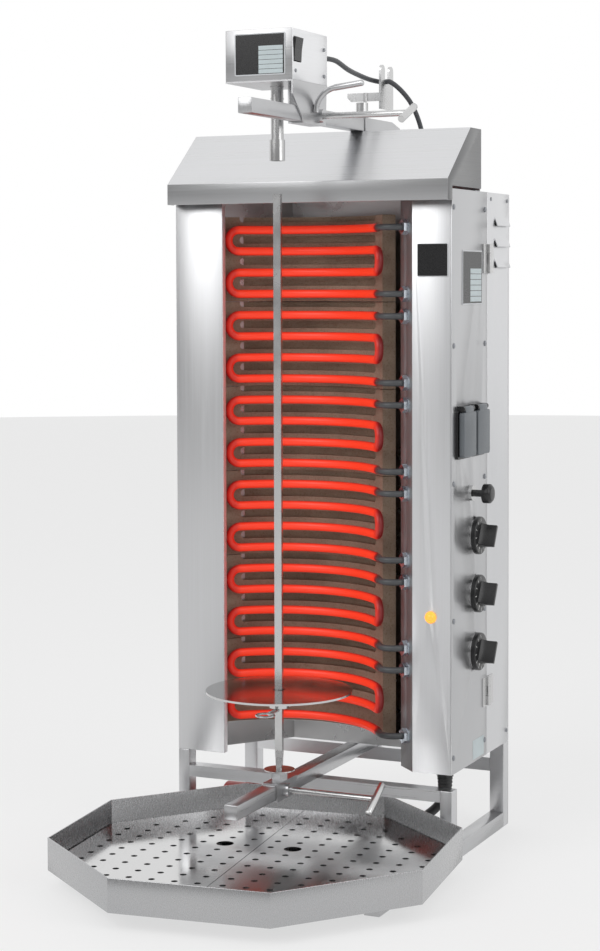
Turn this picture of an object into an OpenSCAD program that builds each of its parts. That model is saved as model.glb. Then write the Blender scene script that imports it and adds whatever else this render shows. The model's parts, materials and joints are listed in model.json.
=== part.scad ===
// Vertical electric skewer grill: a steel cabinet with a heated recess, a turning
// spit that hangs from a motor on the upper arm, and a drip tray on the stand.
// Millimetres. X runs to the control panel, Y to the back, Z up.
// Sizes along Y are counted from the front face of the cabinet.

/* [Cabinet] */
// Width over the two side sheets
body_w = 390; // [380:2:410]
// Depth from the front wings to the back sheet
body_d = 222; // [216:2:240]
// Height of the cabinet
body_h = 742; // [736:2:780]
// Thickness of the steel sheet
sheet = 1.5; // [1:0.1:2]
// Width of the left front wing
left_wing_w = 69; // [60:1:74]
// Width of the right front wing
right_wing_w = 53.4; // [50:0.2:56]
// Depth of the angled wall that carries the terminals
terminal_wall_d = 26; // [24:1:28]
// Depth of the swinging control panel
panel_d = 132.7; // [130:0.1:136]
// Play between sheets that lie side by side
sheet_gap = 0.2; // [0.1:0.05:0.5]

/* [Hood] */
// How far the hood stands out in front of the cabinet
hood_reach = 20; // [14:1:26]
// Height of the hood's front lip
hood_lip = 27; // [20:1:32]
// Drop of the lip below the cabinet's top
hood_drop = 15; // [10:1:20]
// Height of the hood's flat top above the cabinet
hood_h = 80; // [70:1:90]
// Where the slope meets the flat top
hood_fold_y = 63.5; // [55:0.5:66]
// Back edge of the hood
hood_back_y = 104; // [98:1:108]

/* [Heating] */
// Number of heating elements and of bricks
element_count = 6; // [6]
// Open joint between two bricks
brick_joint = 0.3; // [0.1:0.1:1]
// Radius of the bricks' heated face
brick_r = 149; // [147:1:151]
// Thickness of the bricks
brick_t = 24; // [20:1:25]
// Radius of the element tube's centre line
element_r = 137; // [136:0.5:139]
// Diameter of the element tube
element_d = 9; // [8:0.5:10]
// Height of the slots in the bricks
slot_h = 12; // [9:0.5:13]
// Depth of the slots in the bricks
slot_depth = 9; // [6:0.5:12]
// Width of the terminal nuts across flats
terminal_af = 17; // [15:1:18]
// Height of the lowest brick above the cabinet's underside
brick_rise = 33; // [30:1:36]
// Room that the cabinet's top leaves over the bricks
brick_headroom = 29.2; // [28:0.2:34]

/* [Stand] */
// Side of the square base rails and rear posts
rail_s = 20; // [18:1:22]
// Width of the front posts
front_post_w = 16; // [14:1:17]
// Height of the cross rails' top
cross_top = 93; // [93:1:110]
// Height of the rear cross rail
rear_cross_h = 18; // [15:1:20]
// Height of the front cross rail
front_cross_h = 15; // [12:1:16]
// Wall of the square tubes
tube_wall = 1.5; // [1.2:0.1:2]
// How far the base rails run in front of the cabinet
rail_reach = 241; // [220:1:260]

/* [Arms and spit] */
// Side of the square arms
arm_s = 18; // [17:0.5:19]
// Play between the arms and what slides on them
slide_gap = 0.3; // [0.2:0.05:0.5]
// Gap between the lower arm and the cabinet's underside
arm_gap = 3; // [2:0.5:5]
// How far the lower arm runs in front of the cabinet
lower_reach = 237; // [230:1:245]
// How far the upper arm runs in front of the cabinet
upper_reach = 270; // [265:1:285]
// Sideways place of the upper arm
upper_x = 39; // [38:0.5:40]
// Distance of the spit in front of the cabinet
spit_y = 98; // [90:1:104]
// Side of the square spit
spit_s = 13; // [12:0.5:14]
// Diameter of the meat disc
disc_d = 185; // [150:5:190]
// Height of the meat disc above the table
disc_z = 224; // [215:1:400]
// Diameter of the spit's foot pin
foot_pin_d = 8; // [7:0.5:9]
// Radial play of turning pins and shafts
run_gap = 0.05; // [0.02:0.01:0.1]
// Diameter of the clamp screws
clamp_d = 8; // [7:0.5:9]

/* [Motor] */
// Width of the motor box
motor_w = 90; // [84:1:100]
// Depth of the motor box
motor_d = 104; // [98:1:110]
// Height of the motor box
motor_h = 62; // [58:1:70]
// Gap between the upper arm and the motor box
motor_rise = 30; // [28:1:36]
// Length of the drive shaft with its sleeve
shaft_l = 94; // [80:1:96]

/* [Control panel] */
// Height of the lowest knob above the cabinet's underside
knob_z = 145; // [130:1:150]
// Distance between knobs
knob_pitch = 75.7; // [66:0.1:78]
// Diameter of the knob's skirt
knob_d = 49; // [46:1:52]
// Reach of the knob's grip
knob_reach = 28; // [26:1:32]
// Width of a socket lid
lid_w = 45; // [42:0.5:47]
// Height of a socket lid
lid_h = 57; // [52:1:60]
// Distance between the sockets
socket_pitch = 52; // [50:0.5:54]

/* [Drip tray] */
// Width of the tray across its flats
tray_af = 474; // [460:1:476]
// Height of the tray's wall
tray_h = 40.6; // [35:0.2:45]
// Distance of the tray's centre in front of the cabinet
tray_y = 165; // [165:1:180]
// How far the octagon is turned
tray_turn = 6.5; // [5:0.5:8]
// Height of the perforated plates' top above the tray's floor
plate_rise = 9; // [7:0.5:12]
// Distance between drain holes
drain_pitch = 29.2; // [27:0.2:33]
// Diameter of the drain holes
drain_d = 8; // [6:0.5:10]

/* [Cables] */
// Diameter of the mains cable
mains_d = 12; // [11:0.5:12.5]
// Diameter of the motor cable
motor_cable_d = 6.5; // [6:0.5:7]

/* [Hidden] */

$fn = 48;
tiny = 0.1;

// Heights
body_z = cross_top + arm_s + arm_gap;
body_top_z = body_z + body_h;
hood_top_z = body_top_z + hood_h;
upper_z = hood_top_z;
upper_top = upper_z + arm_s;
motor_z = upper_top + motor_rise;
brick_z = body_z + brick_rise;
brick_h = (body_h - brick_rise - brick_headroom) / element_count;
// Height between two passes of an element
pass_pitch = brick_h / 4;
tray_z = rail_s;

// Half widths and the cabinet's main lines
half_w = body_w / 2;
left_edge = -half_w + left_wing_w;
right_edge = half_w - right_wing_w;
seam_y = panel_d + 0.3;
panel_x = half_w - sheet;
rear_post_y = body_d - rail_s;

// The octagonal tray sets how far the part reaches to the front
seam_x = -13.3;
tray_corner_r = tray_af / 2 / cos(22.5);
tray_front = -tray_y - tray_corner_r * max([for (k = [0:7]) sin(tray_turn + 22.5 + 45 * k)]);
origin_y = (tray_front + body_d) / 2;

// Recess: the cavity's wall seen from above
recess_left = [-half_w + 20, sheet + sheet_gap];
recess_back_y = 126;
recess_right_x = 124;
recess_end_y = right_edge + sheet * sqrt(2) + sheet_gap - recess_right_x;
recess_path = [recess_left, [-82, recess_back_y], [84, recess_back_y],
               [recess_right_x, 66], [recess_right_x, recess_end_y]];

// Louvres in the rear housing, and the lamp in the right wing
louvre_w = 52;
louvre_y = 188;
louvre_heights = [for (k = [0:2]) body_top_z - 37 - 27.5 * k];
lamp_x = half_w - 28.5;
lamp_z = body_z + 200;
lamp_body_d = 10;

// Heating elements
arc_centre = [-28, -56];
arc_from = -44;
arc_to = 54;
wall_dir = [-1, 1] / sqrt(2);
into_wall = [1, 1] / sqrt(2);
terminal_at = [right_edge, 0] + wall_dir * 18;
terminal_run = 10;
terminal_start = terminal_at - into_wall * terminal_run;
terminal_nut_l = 7;
start_offset = terminal_start - arc_centre;
// Radius of the bend that leads from the arc into the terminal
bend_r = (start_offset * start_offset - element_r * element_r)
         / (2 * (element_r - start_offset * wall_dir));
bend_centre = terminal_start + wall_dir * bend_r;
bend_to_arc = bend_centre - arc_centre;
arc_leave = atan2(bend_to_arc[0], bend_to_arc[1]);
first_pass = (brick_h - 3 * pass_pitch) / 2 + 4;

// Arms, spit and carriage
spit_at = [0, -spit_y];
arm_in = arm_s - 2 * tube_wall;
clamp_y_upper = -80;
clamp_y_lower = -105;
upper_right = upper_x + arm_s / 2;
upper_left = upper_x - arm_s / 2;
bracket_t = 2;
bracket_x = upper_right + slide_gap;
arm_mid_z = upper_z + arm_s / 2;
lower_mid_z = cross_top + arm_s / 2;
lower_right = arm_s / 2 + slide_gap;
saddle_top = cross_top + arm_s + slide_gap + bracket_t;
bearing_h = 10;
shoulder_z = saddle_top + bearing_h + 2.4;
sleeve_l = 26;
shaft_bottom = motor_z - shaft_l;
spit_engaged = 6;
spit_top = shaft_bottom + spit_engaged;
spit_stub_d = 10;
spit_stub_l = 40;
spit_lift = 15;
retain_d = 5;
hub_h = 20;
retain_z = disc_z - hub_h - retain_d / 2 - tiny;

// Joint between the upper arm and its bracket
tongue_s = arm_in - 0.4;
arm_end = 67;
bracket_start = 72;
pin_y = 82;
arm_pin_d = 8;

// Motor box
motor_x = -40;
motor_front = -161;
cover_t = 1.2;
rocker_size = [22, 30];
rocker_y = -146;
rocker_z = motor_z + 37;

// Control panel
knob_y = 87;
switch_y = 70;
switch_z = 353;
socket_y = 38.5;
socket_z = 431;
bezel_t = 2;
knob_shaft_d = 6;
push_d = 9;
hinge_x = half_w + 3;
hinge_r = 3;
hinge_h = 38;
hinge_heights = [body_top_z - 106, body_z + 66];
socket_body_d = 36;
socket_plate_t = 3;
lid_x = half_w + socket_plate_t + 1.3;
lid_t = 6.7;
lid_hinge_x = half_w + 7;
lid_hinge_z = socket_z + lid_h / 2 + 4.5;

// Cables: hand-set route points
gland_at = [175, 29];
motor_exit = [42, motor_front + motor_d, motor_z + 36];
fork_x = 57;
fork_t = 3;
slot_mid = [fork_x + fork_t / 2, 118, upper_top + 50];
top_gland_at = [100, 165];
motor_front_route = lifted(upper_top, [
  [42, -52, 66], [42, -44, 66], [46, -20, 65], [45, 20, 58],
  [42, 60, 55], [43, 95, 52], [50, 113, 50], [54, 117.6, 50], [58.3, 118, 50]]);
motor_rear_route = concat(
  lifted(upper_top, [
    [58.7, 118, 50], [64, 118.3, 49.6], [71, 124, 44], [78, 135, 34], [84, 146, 21],
    [90, 155, 1], [95, 161, -24], [99, 164, -49]]),
  [concat(top_gland_at, body_top_z + 24), concat(top_gland_at, body_top_z + 6)]);
mains_route = [
  [175, 29, 106], [175, 29.3, 94], [172.5, 31.3, 81], [166, 35.7, 68.5], [155, 43, 57],
  [141.5, 53, 46], [128, 64.5, 34], [116.5, 76, 23], [105, 87, 13.2], [93, 96.5, 8],
  [80, 105, 6.2], [71, 110.6, 6.2], [62.7, 115.8, 6.2]];
// The coil lies flat on the table between the rails, and winds inwards
coil_at = [8, 51];
coil_r = 84;
coil_pitch = mains_d + 1;
coil_from = 58;
coil_turns = 3.09;
coil_steps = 24;
coil_floor = 6.2;
// Its inner end climbs over the turns on its way out
climb_h = mains_d + 0.8;
climb_from = 2.84;
climb_turns = 0.315;
plug_r = 26;
plug_l = 105;
plug_at = [-66, 99, plug_r + 0.3];
lead_route = [[-4, 95.4, 18.5], [-16, 96.2, 19.3], [-32, 97.6, 20.8], [-47, 98.6, 23.6],
              [-58, 99, 25.8], [-66, 99, 26.3]];

// ---- Shared shapes ----

// Points moved up by z
function lifted(z, points) = [for (p = points) p + [0, 0, z]];

function unit(v) = v / norm(v);
function left_of(v) = [-v[1], v[0]];

// Point i of a fold line, moved sideways by t
function fold_point(p, i, t) =
  let (last = len(p) - 1,
       a = left_of(unit(i > 0 ? p[i] - p[i - 1] : p[1] - p[0])),
       b = left_of(unit(i < last ? p[i + 1] - p[i] : p[last] - p[last - 1])))
  p[i] + t * (a + b) / (1 + a * b);

function fold_side(p, t) = [for (i = [0:len(p) - 1]) fold_point(p, i, t)];

// A sheet folded along the line p, with its thickness on the left of the line
module folded(p, t, h) {
  linear_extrude(h)
    polygon(concat(p, [for (i = [len(p) - 1:-1:0]) fold_point(p, i, t)]));
}

// A profile drawn in Y and Z, w wide along X from x
module across(x, w) {
  translate([x, 0, 0])
    rotate([90, 0, 90])
      linear_extrude(w)
        children();
}

module block(from, to) {
  translate(from)
    cube(to - from);
}

module along_x(x, y, z, l, d) {
  translate([x, y, z])
    rotate([0, 90, 0])
      cylinder(h = l, d = d);
}

module along_y(x, y, z, l, d) {
  translate([x, y, z])
    rotate([-90, 0, 0])
      cylinder(h = l, d = d);
}

// A square tube from one corner to the other, hollow along the given axis
module tube_block(from, to, axis, closed_start = false, closed_end = false) {
  inner_from = [for (k = [0:2])
    from[k] + (k == axis ? (closed_start ? tube_wall : -1) : tube_wall)];
  inner_to = [for (k = [0:2])
    to[k] - (k == axis ? (closed_end ? tube_wall : -1) : tube_wall)];
  difference() {
    block(from, to);
    block(inner_from, inner_to);
  }
}

// A rectangle with round corners, centred
module round_rect(w, h, r) {
  square([w - 2 * r, h], center = true);
  square([w, h - 2 * r], center = true);
  for (x = [-1, 1], y = [-1, 1])
    translate([x * (w / 2 - r), y * (h / 2 - r)])
      circle(r);
}

// A hexagonal nut's outline
module hexagon(af) {
  circle(d = af / cos(30), $fn = 6);
}

module octagon(af) {
  rotate(tray_turn + 22.5)
    circle(d = af / cos(22.5), $fn = 8);
}

// ---- Cable sweeps ----

function spline_at(a, b, c, d, t) =
  0.5 * (2 * b + (c - a) * t + (2 * a - 5 * b + 4 * c - d) * t * t
         + (3 * b - a - 3 * c + d) * t * t * t);

// A smooth line through the route's points, n steps in each stretch
function smooth(p, n) =
  let (last = len(p) - 1)
  concat([for (i = [0:last - 1], k = [0:n - 1])
            spline_at(p[max(i - 1, 0)], p[i], p[i + 1], p[min(i + 2, last)], k / n)],
         [p[last]]);

function tangents(p) =
  let (last = len(p) - 1)
  [for (i = [0:last]) unit(p[min(i + 1, last)] - p[max(i - 1, 0)])];

// Carries a side vector along the line without twist
function carried(t, i, done) =
  i == len(t) ? done
  : let (v = done[i - 1])
    carried(t, i + 1, concat(done, [unit(v - (v * t[i]) * t[i])]));

// A round tube of radius r along the points p
module sweep(p, r, sides) {
  t = tangents(p);
  first = abs(t[0][2]) > 0.9 ? [1, 0, 0] : [0, 0, 1];
  side = carried(t, 1, [unit(first - (first * t[0]) * t[0])]);
  rings = len(p);
  points = [for (i = [0:rings - 1], k = [0:sides - 1])
    let (a = 360 * k / sides)
    p[i] + r * (cos(a) * side[i] + sin(a) * cross(t[i], side[i]))];
  function at(i, k) = i * sides + k % sides;
  walls = [for (i = [0:rings - 2], k = [0:sides - 1], half = [0, 1])
    half == 0 ? [at(i, k), at(i + 1, k), at(i + 1, k + 1)]
              : [at(i, k), at(i + 1, k + 1), at(i, k + 1)]];
  ends = concat([for (k = [1:sides - 2]) [0, k, k + 1]],
                [for (k = [1:sides - 2])
                   [at(rings - 1, 0), at(rings - 1, k + 1), at(rings - 1, k)]]);
  polyhedron(points, concat(walls, ends));
}

// ---- Stand ----

module base_rails() {
  color("silver")
    for (s = [-1, 1])
      tube_block([s * half_w - (s > 0 ? rail_s : 0), -rail_reach, 0],
                 [s * half_w + (s > 0 ? 0 : rail_s), rear_post_y, rail_s], 1, true);
}

module stand_posts() {
  color("silver") {
    for (s = [-1, 1])
      tube_block([s * half_w - (s > 0 ? rail_s : 0), rear_post_y, 0],
                 [s * half_w + (s > 0 ? 0 : rail_s), body_d, body_z], 2, true, true);
    tube_block([-half_w, 0, rail_s], [-half_w + front_post_w, rail_s, body_z], 2, false, true);
    tube_block([half_w - front_post_w, 0, rail_s], [half_w, rail_s, cross_top], 2, false, true);
  }
}

module cross_rails() {
  color("silver") {
    tube_block([-half_w + front_post_w, 0, cross_top - front_cross_h],
               [half_w - front_post_w, rail_s, cross_top], 0);
    tube_block([-half_w + rail_s, rear_post_y, cross_top - rear_cross_h],
               [half_w - rail_s, body_d, cross_top], 0);
  }
}

module lower_arm() {
  color("silver")
    tube_block([-arm_s / 2, -lower_reach, cross_top],
               [arm_s / 2, body_d, cross_top + arm_s], 1, true, true);
}

// ---- Cabinet ----

module left_casing() {
  back_y = body_d - sheet - sheet_gap;
  color("gainsboro")
    translate([0, 0, body_z])
      folded([[-half_w + 18, back_y], [-half_w, back_y], [-half_w, 0],
              [left_edge, 0], [left_edge, 9]], sheet, body_h);
}

module right_wing() {
  flange_x = panel_x - sheet_gap;
  color("gainsboro")
    difference() {
      translate([0, 0, body_z])
        folded([[right_edge, 0] + wall_dir * terminal_wall_d * sqrt(2), [right_edge, 0],
                [flange_x, 0], [flange_x, 11]], sheet, body_h);
      translate([lamp_x, -1, lamp_z])
        rotate([-90, 0, 0])
          cylinder(h = 4, d = lamp_body_d + 2 * run_gap);
      for (z = terminal_heights())
        translate(concat(terminal_at - into_wall * 2, z))
          rotate([0, 90, 45])
            cylinder(h = 6, d = element_d + 2 * tiny);
    }
}

module recess_sheet() {
  color("darkgray") {
    translate([0, 0, body_z])
      folded(recess_path, sheet, body_h - sheet - sheet_gap);
    // Ledge that carries the bricks
    translate([0, 0, brick_z - sheet])
      linear_extrude(sheet)
        difference() {
          polygon(recess_path);
          translate(arc_centre)
            circle(r = brick_r + 1, $fn = 96);
          // Clear of the angled wall
          translate([right_edge, 0])
            rotate(135)
              translate([0, -sheet - sheet_gap])
                square([60, 60]);
        }
  }
}

// Plan of the top and bottom sheets, which fit between the casings' flanges
module cover_outline() {
  clear = sheet + sheet_gap;
  inner = panel_x - sheet_gap;
  front = 11 + sheet_gap;
  wall_l = terminal_wall_d * sqrt(2);
  difference() {
    translate([-inner, front])
      square([2 * inner, body_d - 2 * clear - front]);
    // The rear housing's flange behind the control panel
    translate([half_w - 15 - sheet_gap, seam_y + 1 - sheet_gap])
      square([16, sheet + 2 * sheet_gap]);
    translate([right_edge, 0])
      rotate(135)
        translate([-5, -clear])
          square([wall_l + 5 + sheet_gap, clear + sheet_gap]);
  }
}

module body_top() {
  color("gainsboro")
    translate([0, 0, body_top_z - sheet])
      linear_extrude(sheet)
        difference() {
          cover_outline();
          translate(top_gland_at)
            circle(d = 10 + 2 * tiny);
        }
}

module body_bottom() {
  clear = sheet + sheet_gap;
  color("gainsboro")
    translate([0, 0, body_z])
      linear_extrude(sheet)
        difference() {
          cover_outline();
          polygon(concat(fold_side(recess_path, clear),
                         [[right_edge + clear, clear], [right_edge + clear, -5],
                          [-half_w, -5]]));
          translate(gland_at)
            circle(d = 16 + 2 * tiny);
        }
}

// One pressed louvre, open downwards
module louvre(y, z) {
  translate([half_w, y + louvre_w / 2, z])
    rotate([90, 0, 0])
      linear_extrude(louvre_w)
        polygon([[0, 6.5], [4.5, -5], [4.5, -6.5], [3.2, -6.5], [0, 2.5]]);
}

module rear_housing() {
  color("gainsboro") {
    difference() {
      translate([0, 0, body_z])
        folded([[half_w - 15, seam_y + 1], [half_w, seam_y + 1],
                [half_w, body_d], [-half_w, body_d]], sheet, body_h);
      for (z = louvre_heights)
        block([half_w - sheet - 1, louvre_y - louvre_w / 2 + 2, z - 6],
              [half_w + 1, louvre_y + louvre_w / 2 - 2, z + 1]);
    }
    for (z = louvre_heights)
      louvre(louvre_y, z);
  }
}

module hood() {
  lip_z = body_top_z - hood_drop;
  side_z = body_top_z + 3;
  profile = [[-hood_reach, lip_z], [-hood_reach, lip_z + hood_lip],
             [hood_fold_y, hood_top_z], [hood_back_y, hood_top_z],
             [hood_back_y, body_top_z], [hood_back_y - 16, body_top_z]];
  outer = half_w + 2;
  color("silver") {
    across(-outer + sheet, 2 * (outer - sheet))
      polygon(concat(profile,
                     [for (i = [len(profile) - 1:-1:0]) fold_point(profile, i, -sheet)]));
    for (x = [-outer, outer - sheet])
      across(x, sheet)
        polygon([[-hood_reach, lip_z], [-hood_reach, lip_z + hood_lip],
                 [hood_fold_y, hood_top_z], [hood_back_y, hood_top_z],
                 [hood_back_y, side_z], [-3, side_z], [-3, lip_z]]);
  }
}

// ---- Heating ----

function pass_z(k, pass) = brick_z + (element_count - k) * brick_h + brick_h - first_pass
                           - pass * pass_pitch;
function terminal_heights() = [for (k = [1:element_count], pass = [0, 3]) pass_z(k, pass)];

// A ring sector about the arc's centre; angles count from +Y towards +X
module sector(from, to, r) {
  translate(arc_centre)
    rotate(90 - to)
      rotate_extrude(angle = to - from, $fn = 96)
        translate([r, 0])
          children();
}

// A stadium slot cut into the heated face
module brick_slot(z) {
  slot_from = -38;
  slot_to = 47;
  translate([0, 0, z])
    sector(slot_from, slot_to, 0)
      translate([brick_r - 4, -slot_h / 2])
        square([slot_depth + 4, slot_h]);
  for (a = [slot_from, slot_to])
    translate(concat(arc_centre, z))
      rotate([0, 0, 90 - a])
        rotate([0, 90, 0])
          translate([0, 0, brick_r - 4])
            cylinder(h = slot_depth + 4, d = slot_h);
}

module brick(k) {
  bottom = brick_z + (element_count - k) * brick_h;
  left_line = fold_side([recess_path[0], recess_path[1]], -1);
  difference() {
    translate([0, 0, bottom])
      sector(-50, 57, brick_r)
        square([brick_t, brick_h - brick_joint]);
    // The left end follows the recess wall
    translate([0, 0, bottom - 1])
      linear_extrude(brick_h + 2)
        polygon([left_line[0] - [40, 53], left_line[1], left_line[1] - [80, 0],
                 left_line[0] - [120, 53]]);
    for (pass = [0:3])
      brick_slot(pass_z(k, pass) + pass_pitch / 2 - 2);
  }
}

module heat_bricks() {
  color("tan")
    for (k = [1:element_count])
      brick(k);
}

// Points of the element tube's centre line, all worked out from the arc and the pitch
function arc_points(from, to, z, n) =
  [for (i = [0:n]) let (a = from + (to - from) * i / n)
    concat(arc_centre + element_r * [sin(a), cos(a)], z)];

// Upright half ring from the pass at z down to the next one; outward is 1 to the right
function return_points(a, z, outward, n) =
  [for (i = [1:n - 1]) let (t = 180 * i / n)
    concat(arc_centre + element_r * [sin(a), cos(a)]
           + outward * pass_pitch / 2 * sin(t) * [cos(a), -sin(a)],
           z - pass_pitch / 2 * (1 - cos(t)))];

// Cold end, from behind the angled wall to the start of the arc
function terminal_points(z, n) =
  concat([concat(terminal_start + into_wall * (terminal_run + 14), z)],
         [for (i = [0:n - 1]) let (a = 315 - (arc_leave + 45) * i / n)
           concat(bend_centre + bend_r * [cos(a), sin(a)], z)]);

function reversed(p) = [for (i = [len(p) - 1:-1:0]) p[i]];

function element_points(k) =
  let (z = [for (pass = [0:3]) pass_z(k, pass)])
  concat(terminal_points(z[0], 7),
         arc_points(arc_leave, arc_from, z[0], 13), return_points(arc_from, z[0], -1, 6),
         arc_points(arc_from, arc_to, z[1], 12), return_points(arc_to, z[1], 1, 6),
         arc_points(arc_to, arc_from, z[2], 12), return_points(arc_from, z[2], -1, 6),
         arc_points(arc_from, arc_leave, z[3], 13), reversed(terminal_points(z[3], 7)));

module heating_element(k) {
  color("orangered")
    sweep(element_points(k), element_d / 2, 8);
}

module terminal_nuts() {
  color("lightgray")
    for (z = terminal_heights())
      translate(concat(terminal_at, z))
        rotate([0, -90, 45])
          difference() {
            union() {
              cylinder(h = 1.2, d = terminal_af + 3);
              linear_extrude(terminal_nut_l)
                hexagon(terminal_af);
            }
            translate([0, 0, -1])
              cylinder(h = terminal_nut_l + 2, d = element_d + 2 * run_gap);
          }
}

module lamp() {
  color("orange")
    translate([lamp_x, 0, lamp_z])
      rotate([90, 0, 0]) {
        cylinder(h = 1.5, d = 15);
        cylinder(h = 3.5, d = 11.5);
        translate([0, 0, -25])
          cylinder(h = 26, d = lamp_body_d);
        intersection() {
          translate([0, 0, 0.5])
            sphere(5.75);
          translate([0, 0, 3])
            cylinder(h = 5, d = 20);
        }
      }
}

module wing_plate() {
  plate_side = 40;
  color("black")
    translate([half_w - 25.4, 0, body_top_z - 89.6])
      rotate([90, 0, 0])
        linear_extrude(1.2)
          round_rect(plate_side, plate_side, 1.5);
}

// ---- Control panel ----

function knob_height(k) = body_z + knob_z + (3 - k) * knob_pitch;

module control_panel() {
  color("gainsboro")
    difference() {
      block([panel_x, 0, body_z], [half_w, panel_d, body_top_z]);
      for (k = [1:3])
        along_x(panel_x - 1, knob_y, knob_height(k), sheet + 2, knob_shaft_d + 2);
      along_x(panel_x - 1, switch_y, body_z + switch_z, sheet + 2, 14);
      for (n = [0, 1])
        along_x(panel_x - 1, socket_y + n * socket_pitch, body_z + socket_z, sheet + 2,
                socket_body_d + 1);
    }
}

module hinge_knuckle(z, h, bore) {
  difference() {
    translate([hinge_x, seam_y, z])
      cylinder(h = h, r = hinge_r);
    if (bore > 0)
      translate([hinge_x, seam_y, z - 1])
        cylinder(h = h + 2, d = bore);
  }
}

module hinge_fixed() {
  pin_d = 3;
  third = hinge_h / 3;
  color("silver")
    for (z = hinge_heights) {
      hinge_knuckle(z + third, third, 0);
      translate([hinge_x, seam_y, z])
        cylinder(h = hinge_h, d = pin_d);
      block([half_w, seam_y + 1, z + third], [half_w + 1.5, seam_y + 21, z + 2 * third]);
      block([half_w, seam_y + 4, z], [half_w + 1.5, seam_y + 21, z + hinge_h]);
    }
}

module hinge_moving() {
  third = hinge_h / 3;
  color("silver")
    for (z = hinge_heights) {
      for (n = [0, 2]) {
        hinge_knuckle(z + n * third + (n > 0 ? sheet_gap : 0), third - sheet_gap,
                      3 + 2 * run_gap);
        difference() {
          block([half_w, seam_y - 5, z + n * third + (n > 0 ? sheet_gap : 0)],
                [half_w + 1.5, seam_y - 1, z + (n + 1) * third - (n > 0 ? 0 : sheet_gap)]);
          translate([hinge_x, seam_y, z - 1])
            cylinder(h = hinge_h + 2, d = 3 + 2 * run_gap);
        }
      }
      block([half_w, seam_y - 18, z], [half_w + 1.5, seam_y - 4, z + hinge_h]);
    }
}

module panel_screws() {
  inset = 21;
  pitch = (body_h - 2 * inset - 2) / 4;
  heads = [for (n = [0:4]) body_z + inset + pitch * n];
  color("dimgray")
    for (z = heads, y = [6.5, panel_d - 8.7])
      translate([half_w, y, z])
        rotate([0, 90, 0])
          intersection() {
            cylinder(h = 2, d = 7);
            translate([0, 0, -4])
              sphere(6);
          }
}

module socket(n) {
  y = socket_y + n * socket_pitch;
  z = body_z + socket_z;
  ear_l = 4;
  pin_d = 3;
  translate([half_w, y, z])
    rotate([90, 0, 90])
      linear_extrude(socket_plate_t)
        round_rect(lid_w + 4, lid_h + 5, 4);
  along_x(half_w - 34, y, z, 35, socket_body_d);
  along_y(lid_hinge_x, y - 19, body_z + lid_hinge_z, 38, pin_d);
  for (s = [-1, 1]) {
    ear_y = y + s * 17 - ear_l / 2;
    along_y(lid_hinge_x, ear_y, body_z + lid_hinge_z, ear_l, 6.8);
    block([half_w, ear_y, body_z + lid_hinge_z - 3.4],
          [lid_hinge_x, ear_y + ear_l, body_z + lid_hinge_z + 3.4]);
  }
  block([half_w, y - 19, body_z + lid_hinge_z - 3.4],
        [half_w + socket_plate_t, y + 19, body_z + lid_hinge_z + 3.4]);
}

module sockets() {
  color("black")
    for (n = [0, 1])
      socket(n);
}

module socket_lid(n) {
  y = socket_y + n * socket_pitch;
  barrel_l = 29;
  color("black")
    difference() {
      union() {
        translate([lid_x, y, body_z + socket_z])
          rotate([90, 0, 90])
            linear_extrude(lid_t)
              round_rect(lid_w, lid_h, 4);
        along_y(lid_hinge_x, y - barrel_l / 2, body_z + lid_hinge_z, barrel_l, 6.8);
        block([lid_hinge_x - 1, y - barrel_l / 2, body_z + lid_hinge_z - 6],
              [lid_hinge_x + 3.4, y + barrel_l / 2, body_z + lid_hinge_z]);
      }
      along_y(lid_hinge_x, y - 20, body_z + lid_hinge_z, 40, 3 + 2 * run_gap);
      translate([lid_x - 1, y, body_z + socket_z - 3])
        rotate([90, 0, 90])
          linear_extrude(4)
            round_rect(lid_w - 8, lid_h - 16, 3);
    }
}

module panel_bezels() {
  color("silver") {
    for (k = [1:3])
      difference() {
        along_x(half_w, knob_y, knob_height(k), bezel_t, knob_d - 7);
        along_x(half_w - 1, knob_y, knob_height(k), bezel_t + 2, knob_shaft_d + 2);
      }
    difference() {
      union() {
        along_x(half_w, switch_y, body_z + switch_z, 4, 20);
        along_x(panel_x - 8, switch_y, body_z + switch_z, 10, 13.6);
      }
      along_x(panel_x - 9, switch_y, body_z + switch_z, 20, push_d + 2 * run_gap);
    }
  }
}

// A rotary knob: round skirt, a blade that widens to a foot on it and a shaft into the switch
module knob(k) {
  skirt_t = 6.5;
  blade_l = 29;
  blade_w = 6;
  foot_w = 17;
  foot_h = 8;
  turned = -29;
  shaft_in = 22;
  face_x = half_w + bezel_t + 0.3;
  top = knob_reach - bezel_t;
  blade = [[-foot_w / 2, skirt_t - 1], [foot_w / 2, skirt_t - 1], [blade_w / 2, skirt_t + foot_h],
           [blade_w / 2 - 0.6, top], [0.6 - blade_w / 2, top], [-blade_w / 2, skirt_t + foot_h]];
  color("black")
    translate([face_x, knob_y, knob_height(k)]) {
      rotate([0, 90, 0]) {
        cylinder(h = skirt_t - 1, d = knob_d);
        translate([0, 0, skirt_t - 1])
          cylinder(h = 1, d1 = knob_d, d2 = knob_d - 2);
      }
      // The blade's cross section lies across its length
      rotate([turned, 0, 0])
        translate([0, 0, -blade_l / 2])
          linear_extrude(blade_l)
            polygon([for (p = blade) [p[1], p[0]]]);
      translate([-shaft_in, 0, 0])
        rotate([0, 90, 0])
          cylinder(h = shaft_in + 1, d = knob_shaft_d);
    }
}

module rotary_switches() {
  side = 38;
  depth = 30;
  color("ivory")
    for (k = [1:3])
      difference() {
        block([panel_x - depth, knob_y - side / 2, knob_height(k) - side / 2],
              [panel_x, knob_y + side / 2, knob_height(k) + side / 2]);
        along_x(panel_x - 22, knob_y, knob_height(k), 30, knob_shaft_d + 2 * run_gap);
      }
}

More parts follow.
